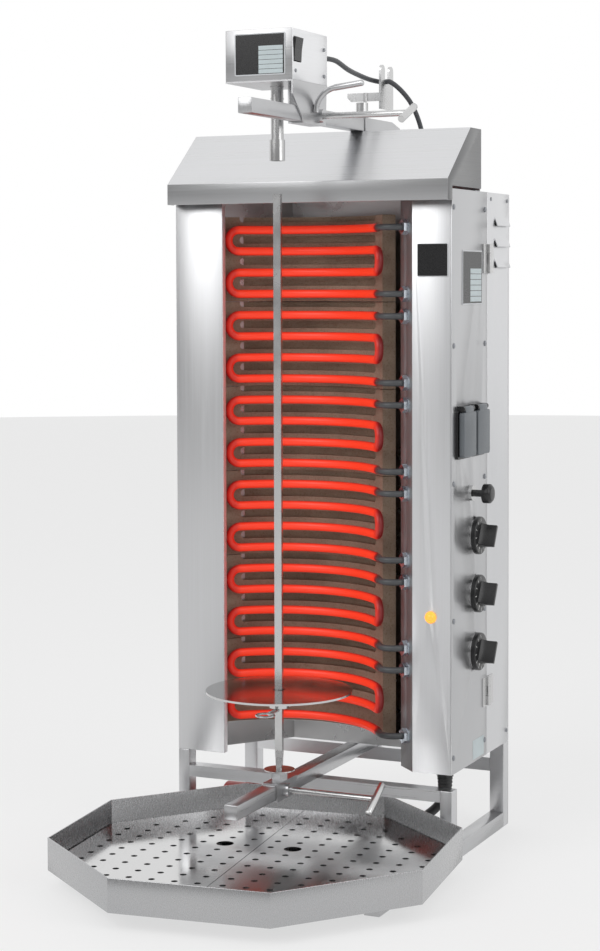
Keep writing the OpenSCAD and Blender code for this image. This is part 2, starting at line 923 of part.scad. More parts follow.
module push_knob() {
  color("black")
    translate([0, switch_y, body_z + switch_z])
      rotate([0, 90, 0]) {
        translate([0, 0, panel_x - 6])
          cylinder(h = 30, d = push_d);
        translate([0, 0, half_w + 18])
          cylinder(h = 9, d = 25);
        translate([0, 0, half_w + 27])
          cylinder(h = 3, d1 = 25, d2 = 18);
      }
}

module rating_plate() {
  color("lightgray")
    block([half_w, 38, body_top_z - 146], [half_w + 0.6, panel_d - 21.7, body_top_z - 76]);
}

// ---- Upper arm ----

module upper_arm() {
  color("silver")
    difference() {
      union() {
        tube_block([upper_left, -upper_reach, upper_z], [upper_right, arm_end, upper_top],
                   1, true, true);
        block([upper_x - tongue_s / 2, arm_end - 1, arm_mid_z - tongue_s / 2],
              [upper_x + tongue_s / 2, pin_y + 12, arm_mid_z + tongue_s / 2]);
      }
      translate([upper_x, pin_y, upper_z - 1])
        cylinder(h = arm_s + 2, d = arm_pin_d + 2 * run_gap);
    }
}

module arm_bracket() {
  rear = 194;
  foot_t = 4;
  color("silver")
    difference() {
      union() {
        across(upper_left, arm_s)
          polygon([[bracket_start, upper_z], [bracket_start, upper_top],
                   [rear - 28, upper_top], [rear, upper_top - 7],
                   [rear, body_top_z + foot_t], [rear - arm_s, body_top_z + foot_t],
                   [rear - arm_s, upper_z]]);
        block([upper_x - 25, rear - 35, body_top_z],
              [upper_x + 25, rear + 15, body_top_z + foot_t]);
      }
      block([upper_x - arm_in / 2, bracket_start - 1, upper_z + tube_wall],
            [upper_x + arm_in / 2, pin_y + 30, upper_top - tube_wall]);
      translate([upper_x, pin_y, upper_z + tube_wall])
        cylinder(h = arm_s, d = arm_pin_d + 2 * run_gap);
    }
}

module arm_pin() {
  color("dimgray")
    translate([upper_x, pin_y, 0]) {
      translate([0, 0, upper_top])
        cylinder(h = 20, d = 16);
      translate([0, 0, upper_z + tube_wall])
        cylinder(h = arm_s, d = arm_pin_d);
    }
}

module cable_fork() {
  bar_z = upper_top + 23;
  bar_y = 97;
  slot_y = slot_mid[1];
  slot_w = 15;
  prong = 14;
  slot_bottom = upper_top + 46;
  tip_z = upper_top + 71;
  arm_w = slot_w + 2 * prong;
  color("silver") {
    translate([0, bar_y, 0])
      rotate([90, 0, 0])
        linear_extrude(fork_t)
          polygon([[18, bar_z], [fork_x + fork_t, bar_z], [fork_x + fork_t, bar_z + 11],
                   [13, bar_z + 11], [13, bar_z + 5]]);
    across(fork_x, fork_t)
      difference() {
        union() {
          translate([slot_y - arm_w / 2, bar_z - 10])
            square([arm_w, tip_z - prong / 2 - bar_z + 10]);
          for (s = [-1, 1])
            translate([slot_y + s * (slot_w + prong) / 2, tip_z - prong / 2])
              circle(d = prong);
        }
        translate([slot_y, slot_bottom + slot_w / 2])
          circle(d = slot_w);
        translate([slot_y - slot_w / 2, slot_bottom + slot_w / 2])
          square([slot_w, 40]);
      }
    translate([upper_x, bar_y - fork_t - 1.3, upper_top])
      cylinder(h = 34, d = 4.6);
  }
}

// ---- Carriage with the motor ----

module motor_bracket() {
  back = motor_front + motor_d;
  plate_low = upper_z - slide_gap - bracket_t;
  floor_z = motor_z - bracket_t;
  inner_left = upper_left - slide_gap - bracket_t;
  color("silver")
    difference() {
      union() {
        across(bracket_x, bracket_t)
          polygon([[motor_front, motor_z], [motor_front, motor_z - 17.5],
                   [motor_front + 35, plate_low], [back - 5, plate_low],
                   [back - 2, motor_z]]);
        block([inner_left, motor_front + 35, plate_low],
              [bracket_x, back - 5, plate_low + bracket_t]);
        block([inner_left, motor_front + 35, plate_low],
              [inner_left + bracket_t, back - 5, motor_z]);
        block([inner_left, motor_front + 35, upper_top + slide_gap],
              [bracket_x, back - 5, upper_top + slide_gap + bracket_t]);
        block([motor_x, motor_front, floor_z],
              [bracket_x + bracket_t, back, motor_z]);
        bracket_handle();
        // Threaded boss of the clamp screw
        along_x(bracket_x + bracket_t - tiny, clamp_y_upper, arm_mid_z, 6, 17);
      }
      translate(concat(spit_at, floor_z - 1))
        cylinder(h = bracket_t + 2, d = 18);
      along_x(bracket_x - 1, clamp_y_upper, arm_mid_z, 12, clamp_d + 2 * run_gap);
    }
}

module motor_cover() {
  back = motor_front + motor_d;
  color("silver")
    difference() {
      union() {
        block([motor_x, motor_front, motor_z], [motor_x + motor_w, back, motor_z + motor_h]);
        along_y(motor_exit[0], back - 1, motor_exit[2], 6, motor_cable_d + 5);
      }
      block([motor_x + cover_t, motor_front + cover_t, motor_z - 1],
            [motor_x + motor_w - cover_t, back - cover_t, motor_z + motor_h - cover_t]);
      block([motor_x + motor_w - cover_t - 1, rocker_y - rocker_size[0] / 2,
             rocker_z - rocker_size[1] / 2],
            [motor_x + motor_w + 1, rocker_y + rocker_size[0] / 2,
             rocker_z + rocker_size[1] / 2]);
    }
}

module gear_motor() {
  color("dimgray")
    difference() {
      union() {
        block([-28, -spit_y - 26, motor_z], [28, -spit_y + 26, motor_z + 26]);
        translate([0, -spit_y + 4, motor_z + 26])
          cylinder(h = 30, d = 44);
      }
      translate(concat(spit_at, motor_z - 1))
        cylinder(h = 21, d = 12 + 2 * run_gap);
    }
}

module rocker_switch() {
  face = motor_x + motor_w;
  w = rocker_size[0] - 1.5;
  h = rocker_size[1] - 2;
  color("black") {
    translate([0, rocker_y - w / 2, rocker_z])
      rotate([-90, 0, 0])
        linear_extrude(w)
          polygon([[face - 6, 9], [face - 2, h / 2], [face + 0.5, h / 2], [face + 1.2, 0],
                   [face + 3.5, -h / 2], [face - 2, -h / 2], [face - 6, -9]]);
    // Pivots that snap into the cover
    along_y(face - 2, rocker_y - rocker_size[0] / 2 + run_gap, rocker_z,
            rocker_size[0] - 2 * run_gap, 3);
  }
}

// Bent rod that is welded to the bracket's side plate
module bracket_handle() {
  rod_r = 3.5;
  grip_r = 3.9;
  weld_depth = 0.9;
  turn = 83;
  bend = 30;
  straight = 36;
  y = -98;
  start_x = bracket_x + bracket_t + rod_r - weld_depth;
  start_z = arm_mid_z + 3;
  translate([start_x + bend, y, start_z])
    rotate([90, 0, 0])
      rotate([0, 0, 180 - turn])
        rotate_extrude(angle = turn)
          translate([bend, 0])
            circle(rod_r);
  translate([start_x + bend - bend * cos(turn), y, start_z + bend * sin(turn)])
    rotate([0, turn, 0]) {
      // Straight grip, a little thicker than the rod
      translate([0, 0, -1])
        cylinder(h = straight + 1, r = grip_r);
      translate([0, 0, straight])
        cylinder(h = 1.5, r1 = grip_r, r2 = grip_r - 1.5);
    }
}

// Clamp screw: a rod on the screw's axis with a bar across its end
module clamp(x, y, z, l, bar_l, tilt) {
  bar_d = clamp_d + 1;
  along_x(x, y, z, l, clamp_d);
  translate([x + l, y, z])
    rotate([tilt, 0, 0])
      translate([0, -bar_l / 2, 0])
        rotate([-90, 0, 0])
          cylinder(h = bar_l, d = bar_d);
}

module upper_clamp() {
  color("silver")
    clamp(bracket_x + tiny, clamp_y_upper, arm_mid_z, 119, 48, 23);
}

module drive_shaft() {
  socket_s = spit_s + 0.3;
  color("silver")
    translate(concat(spit_at, 0))
      difference() {
        union() {
          translate([0, 0, shaft_bottom])
            cylinder(h = sleeve_l, d = 19.5);
          translate([0, 0, shaft_bottom + sleeve_l - 1])
            cylinder(h = shaft_l - sleeve_l + 1, d = 16);
          translate([0, 0, motor_z - 1])
            cylinder(h = 19, d = 12);
          translate([0, 0, motor_z - 18])
            cylinder(h = 2, d = 17);
        }
        translate([-socket_s / 2, -socket_s / 2, shaft_bottom - 1])
          cube([socket_s, socket_s, spit_engaged + spit_lift + 2]);
        translate([0, 0, shaft_bottom])
          cylinder(h = spit_engaged + spit_stub_l + spit_lift + 3, d = spit_stub_d + 2 * run_gap);
        translate([0, 0, motor_z - 26])
          rotate([90, 0, 0])
            cylinder(h = 10, d = 4);
      }
}

// ---- Spit ----

module spit() {
  taper_h = 24;
  tip_s = 9;
  taper = [[-spit_s / 2, taper_h], [-tip_s / 2, 0], [tip_s / 2, 0], [spit_s / 2, taper_h]];
  color("silver")
    translate(concat(spit_at, 0))
      difference() {
        union() {
          translate([-spit_s / 2, -spit_s / 2, shoulder_z + taper_h])
            cube([spit_s, spit_s, spit_top - shoulder_z - taper_h]);
          translate([0, 0, shoulder_z])
            intersection() {
              rotate([90, 0, 0])
                translate([0, 0, -spit_s / 2])
                  linear_extrude(spit_s)
                    polygon(taper);
              rotate([90, 0, 90])
                translate([0, 0, -spit_s / 2])
                  linear_extrude(spit_s)
                    polygon(taper);
            }
          translate([0, 0, saddle_top + 0.3])
            cylinder(h = shoulder_z - saddle_top, d = foot_pin_d);
          translate([0, 0, spit_top - 1])
            cylinder(h = spit_stub_l + 1, d = spit_stub_d);
        }
        translate([0, -20, retain_z])
          rotate([-90, 0, 0])
            cylinder(h = 40, d = retain_d + 2 * run_gap);
        translate([0, -20, shoulder_z + 34])
          rotate([-90, 0, 0])
            cylinder(h = 40, d = retain_d);
      }
}

module deflector_disc() {
  color("silver")
    translate(concat(spit_at, shoulder_z - 1.5))
      difference() {
        cylinder(h = 1.5, d = 39);
        translate([0, 0, -1])
          cylinder(h = 4, d = foot_pin_d + 2 * run_gap);
      }
}

module meat_disc() {
  hole_s = spit_s + 0.4;
  color("silver")
    translate(concat(spit_at, 0))
      difference() {
        union() {
          translate([0, 0, disc_z])
            cylinder(h = 2.5, d = disc_d, $fn = 96);
          translate([0, 0, disc_z - hub_h])
            cylinder(h = hub_h + 1, d = 25);
        }
        translate([-hole_s / 2, -hole_s / 2, disc_z - hub_h - 1])
          cube([hole_s, hole_s, hub_h + 6]);
      }
}

module retaining_pin() {
  ring_r = 11;
  half_l = 30;
  color("silver")
    translate(concat(spit_at, retain_z)) {
      translate([0, -half_l, 0])
        rotate([-90, 0, 0])
          cylinder(h = 2 * half_l, d = retain_d);
      translate([0, -half_l - ring_r, 0])
        rotate_extrude()
          translate([ring_r, 0])
            circle(1.6, $fn = 24);
    }
}

module lower_saddle() {
  from_y = -128;
  to_y = -70;
  side = bracket_t;
  low = cross_top - slide_gap - side;
  color("silver")
    difference() {
      union() {
        across(-lower_right, 2 * lower_right + side)
          translate([from_y, saddle_top - side])
            square([to_y - from_y, side]);
        across(-lower_right, 2 * lower_right + side)
          translate([from_y, low])
            square([to_y - from_y, side]);
        across(lower_right, side)
          translate([from_y, low])
            square([to_y - from_y, saddle_top - low]);
        translate(concat(spit_at, saddle_top - tiny))
          linear_extrude(bearing_h + tiny)
            hexagon(19);
        along_x(lower_right + side - tiny, clamp_y_lower, lower_mid_z, 7, 16);
      }
      translate(concat(spit_at, saddle_top))
        cylinder(h = bearing_h + 1, d = foot_pin_d + 2 * run_gap);
      along_x(lower_right - 1, clamp_y_lower, lower_mid_z, 12, clamp_d + 2 * run_gap);
    }
}

module lower_clamp() {
  color("silver")
    clamp(lower_right + tiny, clamp_y_lower, lower_mid_z, 124, 52, 30);
}

// ---- Drip tray ----

module drip_tray() {
  color("silver")
    translate([0, -tray_y, tray_z])
      difference() {
        linear_extrude(tray_h)
          octagon(tray_af);
        translate([0, 0, sheet])
          linear_extrude(tray_h)
            octagon(tray_af - 2 * sheet);
      }
}

// Part of the octagon on one side of the seam along the tray's own Y
module tray_half(side, af, gap) {
  intersection() {
    octagon(af);
    rotate(tray_turn)
      translate([seam_x + (side > 0 ? gap : -gap - af), -af])
        square([af, 2 * af]);
  }
}

module tray_plate(side) {
  skirt = plate_rise - sheet;
  play = 5;
  plate_af = tray_af - 2 * sheet - play;
  half_gap = 0.4;
  edge = 25;
  reach = plate_af / 2 - edge;
  first_column = 15.8;
  first_row = 16.6;
  finger_d = 22;
  rows = ceil(reach / drain_pitch);
  color("lightgray")
    translate([0, -tray_y, tray_z + sheet])
      difference() {
        linear_extrude(plate_rise)
          tray_half(side, plate_af, half_gap);
        translate([0, 0, -1])
          linear_extrude(skirt + 1)
            tray_half(side, plate_af - 2 * sheet, half_gap + sheet);
        // Drain holes on a square grid; one is a larger finger hole
        for (row = [-rows:rows], col = [0:rows]) {
          x = seam_x + side * (first_column + col * drain_pitch);
          y = first_row + row * drain_pitch;
          if (drain_fits(abs(x), abs(y), reach))
            rotate(tray_turn)
              translate([x, y, 0])
                cylinder(h = plate_rise + 1, d = col == 1 && row == 1 ? finger_d : drain_d);
        }
      }
}

// True where a hole keeps clear of the eight edges
function drain_fits(x, y, flat) = x < flat && y < flat && (x + y) / sqrt(2) < flat;

// ---- Cables ----

module cable_glands() {
  color("black") {
    translate(concat(top_gland_at, body_top_z - sheet - 2))
      cylinder(h = sheet + 2, d = 10);
    translate(concat(top_gland_at, body_top_z))
      cylinder(h = 6, d = 14);
    translate(concat(gland_at, body_z - 8)) {
      cylinder(h = 8 + sheet, d = 16);
      linear_extrude(8)
        hexagon(20);
    }
  }
}

module motor_cable_front() {
  color("black")
    sweep(smooth(motor_front_route, 3), motor_cable_d / 2, 8);
}

module motor_cable_rear() {
  color("black")
    sweep(smooth(motor_rear_route, 3), motor_cable_d / 2, 8);
}

// The free stretches before and after the coil
module mains_cable() {
  color("black") {
    sweep(smooth(mains_route, 3), mains_d / 2, 10);
    sweep([for (i = [flat_steps:len(coil_line) - 1]) coil_line[i]], mains_d / 2, 6);
  }
}

// Point of the coil after u turns
function coil_height(u) =
  let (t = min(max((u - climb_from) / climb_turns, 0), 1))
  coil_floor + climb_h * t * t * (3 - 2 * t);
function coil_point(u) =
  let (a = coil_from + 360 * u)
  concat(coil_at + (coil_r - coil_pitch * u) * [cos(a), sin(a)], coil_height(u));
coil_points = [for (i = [0:floor(coil_turns * coil_steps)]) coil_point(i / coil_steps)];
// The coil proper has whole turns; what follows is the lead to the plug
flat_steps = floor(coil_turns) * coil_steps;
coil_start = coil_points[0] + mains_d * [sin(coil_from), -cos(coil_from), 0];

// Least distance between stretches of the cable that are more than half a turn apart
coil_line = concat(coil_points, smooth(lead_route, 3));
coil_self_gap = min([for (i = [0:len(coil_points) - 1])
  for (j = [i + coil_steps / 2:1:len(coil_line) - 1])
    norm(coil_line[i] - coil_line[j])]) - mains_d;

module cable_coil() {
  echo(coil_self_gap = coil_self_gap);
  color("black")
    sweep(concat([coil_start], [for (i = [0:flat_steps]) coil_line[i]]), mains_d / 2, 6);
}

module mains_plug() {
  neck = 26;
  color("darkred")
    translate(plug_at)
      rotate([0, -90, 0]) {
        cylinder(h = neck, d1 = mains_d + 8, d2 = 2 * plug_r - 10);
        translate([0, 0, neck])
          cylinder(h = plug_l - neck, r = plug_r - 2);
        translate([0, 0, plug_l - 40])
          cylinder(h = 10, r = plug_r);
      }
}

// The origin lies on the table, in the middle of the whole outline
translate([0, -origin_y, 0]) {
  base_rails();
  stand_posts();
  cross_rails();
  lower_arm();
  left_casing();
  right_wing();
  recess_sheet();
  body_top();
  body_bottom();
  rear_housing();
  hood();
  heat_bricks();
  heating_element(1);  // heating_element_1
  heating_element(2);  // heating_element_2
  heating_element(3);  // heating_element_3
  heating_element(4);  // heating_element_4
  heating_element(5);  // heating_element_5
  heating_element(6);  // heating_element_6
  terminal_nuts();
  lamp();
  wing_plate();
  control_panel();
  hinge_fixed();
  hinge_moving();
  panel_screws();
  sockets();
  socket_lid(0);  // socket_lid_front
  socket_lid(1);  // socket_lid_rear
  panel_bezels();
  knob(1);  // knob_1
  knob(2);  // knob_2
  knob(3);  // knob_3
  rotary_switches();
  push_knob();
  rating_plate();
  upper_arm();
  arm_bracket();
  arm_pin();
  cable_fork();
  motor_bracket();
  motor_cover();
  gear_motor();
  rocker_switch();
  upper_clamp();
  drive_shaft();
  spit();
  deflector_disc();
  meat_disc();
  retaining_pin();
  lower_saddle();
  lower_clamp();
  drip_tray();
  tray_plate(-1);  // tray_plate_left
  tray_plate(1);  // tray_plate_right
  cable_glands();
  motor_cable_front();
  motor_cable_rear();
  mains_cable();
  cable_coil();
  mains_plug();
}
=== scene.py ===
# %% [markdown]
# An electric skewer grill, dressed for a photograph. The measured steel parts come
# first, as a fixed frame in metres, and every later step adds to them or paints them.
# %% Load the measured grill
import json
import math

import bmesh
import bpy
from mathutils import Matrix, Vector

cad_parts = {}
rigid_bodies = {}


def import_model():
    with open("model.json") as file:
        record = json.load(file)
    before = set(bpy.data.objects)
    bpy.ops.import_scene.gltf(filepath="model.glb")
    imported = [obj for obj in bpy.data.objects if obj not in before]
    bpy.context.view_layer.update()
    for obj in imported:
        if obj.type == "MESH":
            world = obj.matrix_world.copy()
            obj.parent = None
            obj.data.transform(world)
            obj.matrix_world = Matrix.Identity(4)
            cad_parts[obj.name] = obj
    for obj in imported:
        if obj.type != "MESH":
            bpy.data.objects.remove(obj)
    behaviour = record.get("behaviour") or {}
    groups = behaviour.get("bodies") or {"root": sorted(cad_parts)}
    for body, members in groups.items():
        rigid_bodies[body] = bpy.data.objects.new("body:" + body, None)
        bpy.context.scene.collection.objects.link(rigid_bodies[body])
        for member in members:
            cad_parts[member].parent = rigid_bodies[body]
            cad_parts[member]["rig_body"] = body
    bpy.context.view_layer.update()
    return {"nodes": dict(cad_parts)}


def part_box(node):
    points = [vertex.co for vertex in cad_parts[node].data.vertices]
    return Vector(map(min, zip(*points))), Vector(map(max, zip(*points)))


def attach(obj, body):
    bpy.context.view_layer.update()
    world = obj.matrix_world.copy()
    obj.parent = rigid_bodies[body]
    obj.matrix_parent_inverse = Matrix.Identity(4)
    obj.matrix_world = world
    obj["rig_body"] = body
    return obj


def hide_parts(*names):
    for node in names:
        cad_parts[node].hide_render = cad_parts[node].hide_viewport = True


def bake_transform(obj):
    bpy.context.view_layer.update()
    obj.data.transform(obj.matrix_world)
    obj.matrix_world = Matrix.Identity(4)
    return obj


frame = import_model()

# %% [markdown]
# Sheet metal shops measure a grill like this one in millimetres from the front face of
# its cabinet. This helper turns such a measure into the metres of the frame.
# %% Millimetres from the cabinet's front
cabinet_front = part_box("control_panel")[0].y


def at(x, y, z):
    return Vector((x / 1000, y / 1000 + cabinet_front, z / 1000))


print("the cabinet's front lies at y =", round(cabinet_front, 4))

# %% [markdown]
# A long lens from the right and a little below the middle keeps the cabinet's edges
# nearly upright. The shift slides the picture without tilting the camera.
# %% Camera
lens = bpy.data.cameras.new("grill_camera")
lens.sensor_fit = "HORIZONTAL"
lens.sensor_width = 36
lens.lens = 125.61
lens.shift_x = -0.0033
lens.shift_y = -0.163
camera = bpy.data.objects.new("grill_camera", lens)
aim = Matrix.Rotation(math.radians(24.415), 4, "Z") @ Matrix.Rotation(math.radians(87.371), 4, "X")
camera.matrix_world = (Matrix.Translation((1.10882, -2.373535, 0.73982)) @ aim
                       @ Matrix.Rotation(-0.0029, 4, "Z"))
bpy.context.scene.collection.objects.link(camera)
bpy.context.scene.camera = camera
print("camera at", [round(c, 2) for c in camera.location])

# %% [markdown]
# Cables follow a few given points. A Catmull-Rom line passes through every point
# and bends evenly between them, as a stiff rubber cable does.
# %% Smooth cable lines
def between(a, b, c, d, t):
    return 0.5 * (2 * b + (c - a) * t + (2 * a - 5 * b + 4 * c - d) * t * t
                  + (3 * b - a - 3 * c + d) * t ** 3)


def smooth_line(points, steps):
    last = len(points) - 1
    line = []
    for i in range(last):
        four = [points[max(i - 1, 0)], points[i], points[i + 1], points[min(i + 2, last)]]
        line += [between(*four, k / steps) for k in range(steps)]
    return line + [points[last]]


def line_length(points):
    return sum((b - a).length for a, b in zip(points, points[1:]))


def tube_curve(name, points, radius, widths=None, sides=6):
    """A round tube along the points; widths swells or thins it at each of them."""
    curve = bpy.data.curves.new(name, "CURVE")
    curve.dimensions = "3D"
    curve.bevel_depth = radius
    curve.bevel_resolution = sides
    curve.use_fill_caps = True
    spline = curve.splines.new("POLY")
    spline.points.add(len(points) - 1)
    for i, point in enumerate(points):
        spline.points[i].co = (*point, 1)
        spline.points[i].radius = widths[i] if widths else 1
    tube = bpy.data.objects.new(name, curve)
    bpy.context.scene.collection.objects.link(tube)
    return tube


def as_mesh(tube):
    """The tube again as a mesh, with its curve taken away."""
    name = tube.name
    bpy.context.view_layer.update()
    mesh = bpy.data.meshes.new_from_object(tube.evaluated_get(
        bpy.context.evaluated_depsgraph_get()))
    curve = tube.data
    bpy.data.objects.remove(tube)
    bpy.data.curves.remove(curve)
    mesh.name = name
    solid = bpy.data.objects.new(name, mesh)
    bpy.context.scene.collection.objects.link(solid)
    for face in mesh.polygons:
        face.use_smooth = True
    return solid


# %% [markdown]
# The mains lead leaves a gland under the cabinet, falls to the table and lies there in a
# flat coil of three turns. The coil winds inwards, and its inner end climbs over the
# turns to the plug. The points repeat the measured route.
# %% Mains lead
gland_route = [at(*p) for p in (
    (175, 29, 106), (175, 29.3, 94), (172.5, 31.3, 81), (166, 35.7, 68.5), (155, 43, 57),
    (141.5, 53, 46), (128, 64.5, 34), (116.5, 76, 23), (105, 87, 13.2), (93, 96.5, 8),
    (80, 105, 6.2), (71, 110.6, 6.2), (62.7, 115.8, 6.2))]
plug_route = [at(*p) for p in (
    (-4, 95.4, 18.5), (-16, 96.2, 19.3), (-32, 97.6, 20.8), (-47, 98.6, 23.6),
    (-58, 99, 25.8), (-66, 99, 26.3))]
COIL_STEPS = 24


def coil_line(turns=3.09, radius=84, pitch=13, start=58):
    line = []
    for i in range(math.floor(turns * COIL_STEPS) + 1):
        turn = i / COIL_STEPS
        angle = math.radians(start + 360 * turn)
        climb = min(max((turn - 2.84) / 0.315, 0), 1)
        reach = radius - pitch * turn
        line.append(at(8 + reach * math.cos(angle), 51 + reach * math.sin(angle),
                       6.2 + 12.8 * climb * climb * (3 - 2 * climb)))
    return line


mains_line = smooth_line(gland_route, 3) + coil_line() + smooth_line(plug_route, 3)
mains_lead = as_mesh(tube_curve("mains_lead", mains_line, 0.006))
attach(mains_lead, "cabinet")
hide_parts("mains_cable", "cable_coil")
print("mains lead", round(line_length(mains_line), 3), "m in", len(mains_line), "points")

# %% [markdown]
# The motor cable is thinner. It runs from the back of the motor box over a fork and down
# into the cabinet's top, so half of it slides with the motor. It is made as a mesh.
# %% Motor cable
motor_route = [at(*p) for p in (
    (42, -52, 1020), (42, -44, 1020), (46, -20, 1019), (45, 20, 1012), (42, 60, 1009),
    (43, 95, 1006), (50, 113, 1004), (54, 117.6, 1004), (58.5, 118, 1004), (64, 118.3, 1003.6),
    (71, 124, 998), (78, 135, 988), (84, 146, 975), (90, 155, 955), (95, 161, 930),
    (99, 164, 905), (100, 165, 880), (100, 165, 862))]
motor_line = smooth_line(motor_route, 4)


motor_cable = as_mesh(tube_curve("motor_cable", motor_line, 0.00325, sides=4))
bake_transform(motor_cable)
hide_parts("motor_cable_front", "motor_cable_rear")
print("motor cable", round(line_length(motor_line), 3), "m")

# %% [markdown]
# A rubber sleeve guards the mains lead where it leaves the gland. It grows thinner
# downwards and has ribs, so that the lead bends evenly. A swelling width along the same
# line gives both.
# %% Strain relief
relief_line = smooth_line(gland_route[:4], 16)[:40]
relief_widths = [1.62 - 0.4 * i / 39 + (0.1 if i % 5 < 3 else -0.04) for i in range(40)]
strain_relief = as_mesh(tube_curve("strain_relief", relief_line, 0.006, relief_widths))
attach(strain_relief, "cabinet")
print("strain relief", round(line_length(relief_line) * 1000), "mm long")

print("declared", mains_lead.name, "and", motor_cable.name)

# %% [markdown]
# Materials. One helper starts a material with the plain numbers on its shader, one adds
# a node, and one lays a noise over the piece in metres. Object coordinates keep the
# pattern in place when the piece moves.
# %% Material helpers
def new_finish(name, colour, roughness, metallic=0.0, **more):
    finish = bpy.data.materials.new(name)
    finish.use_nodes = True
    shader = finish.node_tree.nodes["Principled BSDF"]
    values = {"Base Color": (*colour, 1), "Roughness": roughness, "Metallic": metallic}
    values.update({key.replace("_", " "): value for key, value in more.items()})
    for socket, value in values.items():
        shader.inputs[socket].default_value = value
    finish.diffuse_color = (*colour, 1)
    return finish


def shader_of(finish):
    return finish.node_tree.nodes["Principled BSDF"]


def add_node(finish, kind, sockets=(), **settings):
    node = finish.node_tree.nodes.new(kind)
    for key, value in settings.items():
        setattr(node, key, value)
    for socket, value in dict(sockets).items():
        node.inputs[socket].default_value = value
    return node


def wire(finish, source, target):
    finish.node_tree.links.new(source, target)


def noise_over(finish, stretch, scale, detail=3.0, rough=0.55):
    """Noise in metres on the piece, stretched by three factors."""
    where = add_node(finish, "ShaderNodeTexCoord")
    mapping = add_node(finish, "ShaderNodeMapping", {"Scale": stretch})
    noise = add_node(finish, "ShaderNodeTexNoise",
                     {"Scale": scale, "Detail": detail, "Roughness": rough})
    wire(finish, where.outputs["Object"], mapping.inputs["Vector"])
    wire(finish, mapping.outputs["Vector"], noise.inputs["Vector"])
    return noise.outputs["Fac"]


def spread(finish, value, low, high, start=0.3, end=0.7):
    """The value laid between low and high."""
    node = add_node(finish, "ShaderNodeMapRange",
                    {"From Min": start, "From Max": end, "To Min": low, "To Max": high})
    wire(finish, value, node.inputs["Value"])
    return node.outputs["Result"]


def blend_colours(finish, factor, first, second):
    node = add_node(finish, "ShaderNodeMix", data_type="RGBA")
    node.inputs["A"].default_value = (*first, 1)
    node.inputs["B"].default_value = (*second, 1)
    wire(finish, factor, node.inputs["Factor"])
    return node.outputs["Result"]


def dent(finish, height, strength, depth):
    bump = add_node(finish, "ShaderNodeBump", {"Strength": strength, "Distance": depth})
    wire(finish, height, bump.inputs["Height"])
    wire(finish, bump.outputs["Normal"], shader_of(finish).inputs["Normal"])


def dress(finish, *names):
    for name in names:
        node = frame["nodes"][name]
        if not node.material_slots:
            node.data.materials.append(finish)
        node.material_slots[0].material = finish


# %% [markdown]
# Brushed stainless steel is drawn under an abrasive belt. The scratches run one way, so
# the noise is stretched a hundred times along the grain. It changes the roughness, the
# colour and the height a little, and a slow cloud adds the marks of wiping.
# %% Brushed steel
ALONG_Z = (1, 1, 0.008)
ALONG_X = (0.008, 1, 1)
ALONG_Y = (1, 0.008, 1)


def brushed_steel(name, tone, grain, roughness=0.3, strength=0.045):
    steel = new_finish(name, (tone, tone, tone * 1.01), roughness, 1.0)
    shader = shader_of(steel)
    lines = noise_over(steel, grain, 620, 4, 0.7)
    cloud = noise_over(steel, (1, 1, 0.45), 7, 3)
    wire(steel, spread(steel, lines, roughness - 0.04, roughness + 0.05),
         shader.inputs["Roughness"])
    dark = blend_colours(steel, spread(steel, lines, 0, 1, 0.25, 0.75),
                         (tone * 0.94, tone * 0.94, tone * 0.94), (tone, tone, tone * 1.02))
    light = add_node(steel, "ShaderNodeMix", data_type="RGBA", blend_type="MULTIPLY")
    light.inputs["Factor"].default_value = 1
    wire(steel, dark, light.inputs["A"])
    wire(steel, blend_colours(steel, cloud, (0.93, 0.94, 0.95), (1, 1, 1)), light.inputs["B"])
    wire(steel, light.outputs["Result"], shader.inputs["Base Color"])
    dent(steel, lines, strength, 0.0004)
    return steel


wing_steel = brushed_steel("steel_wing_grain", 0.72, ALONG_Z, 0.36)
left_steel = brushed_steel("steel_left_grain", 0.64, ALONG_Z, 0.33)
housing_steel = brushed_steel("steel_housing_grain", 0.72, ALONG_Z, 0.34)
panel_steel = brushed_steel("steel_panel_grain", 0.56, ALONG_Z, 0.34)
hood_steel = brushed_steel("steel_hood_grain", 0.74, ALONG_X)
# Painted shade: a darker copy of the hood steel for its front lip.
lip_shade_steel = brushed_steel("steel_hood_lip_painted_shade", 0.44, ALONG_X, 0.33)
# Painted shade: a near-black copy of the hood steel for its gables.
gable_shade_steel = brushed_steel("steel_hood_gable_painted_shade", 0.2, ALONG_Y, 0.3)
rail_steel = brushed_steel("steel_rail_grain", 0.55, ALONG_Y)
dress(wing_steel, "right_wing")
dress(housing_steel, "rear_housing", "body_top", "body_bottom")
dress(left_steel, "left_casing", "stand_posts")
dress(panel_steel, "control_panel")
dress(hood_steel, "hood", "cross_rails")
dress(rail_steel, "base_rails", "lower_arm", "lower_saddle", "upper_arm", "arm_bracket",
      "motor_bracket")
print("brushed sheets dressed")

# %% [markdown]
# The tray, the meat disc and the turned rods are polished. They mirror the glow, and
# only fine scratches and finger marks break the mirror.
# %% Polished steel
def polished_steel(name, tone, roughness, grain=(1, 1, 1)):
    steel = new_finish(name, (tone, tone, tone), roughness, 1.0)
    smudges = noise_over(steel, (1, 1, 1), 16, 4, 0.6)
    scratches = noise_over(steel, grain, 900, 3, 0.7)
    wire(steel, spread(steel, smudges, roughness * 0.7, roughness * 1.7),
         shader_of(steel).inputs["Roughness"])
    wire(steel, blend_colours(steel, smudges, (tone * 0.92,) * 3, (tone,) * 3),
         shader_of(steel).inputs["Base Color"])
    dent(steel, scratches, 0.05, 0.0003)
    return steel


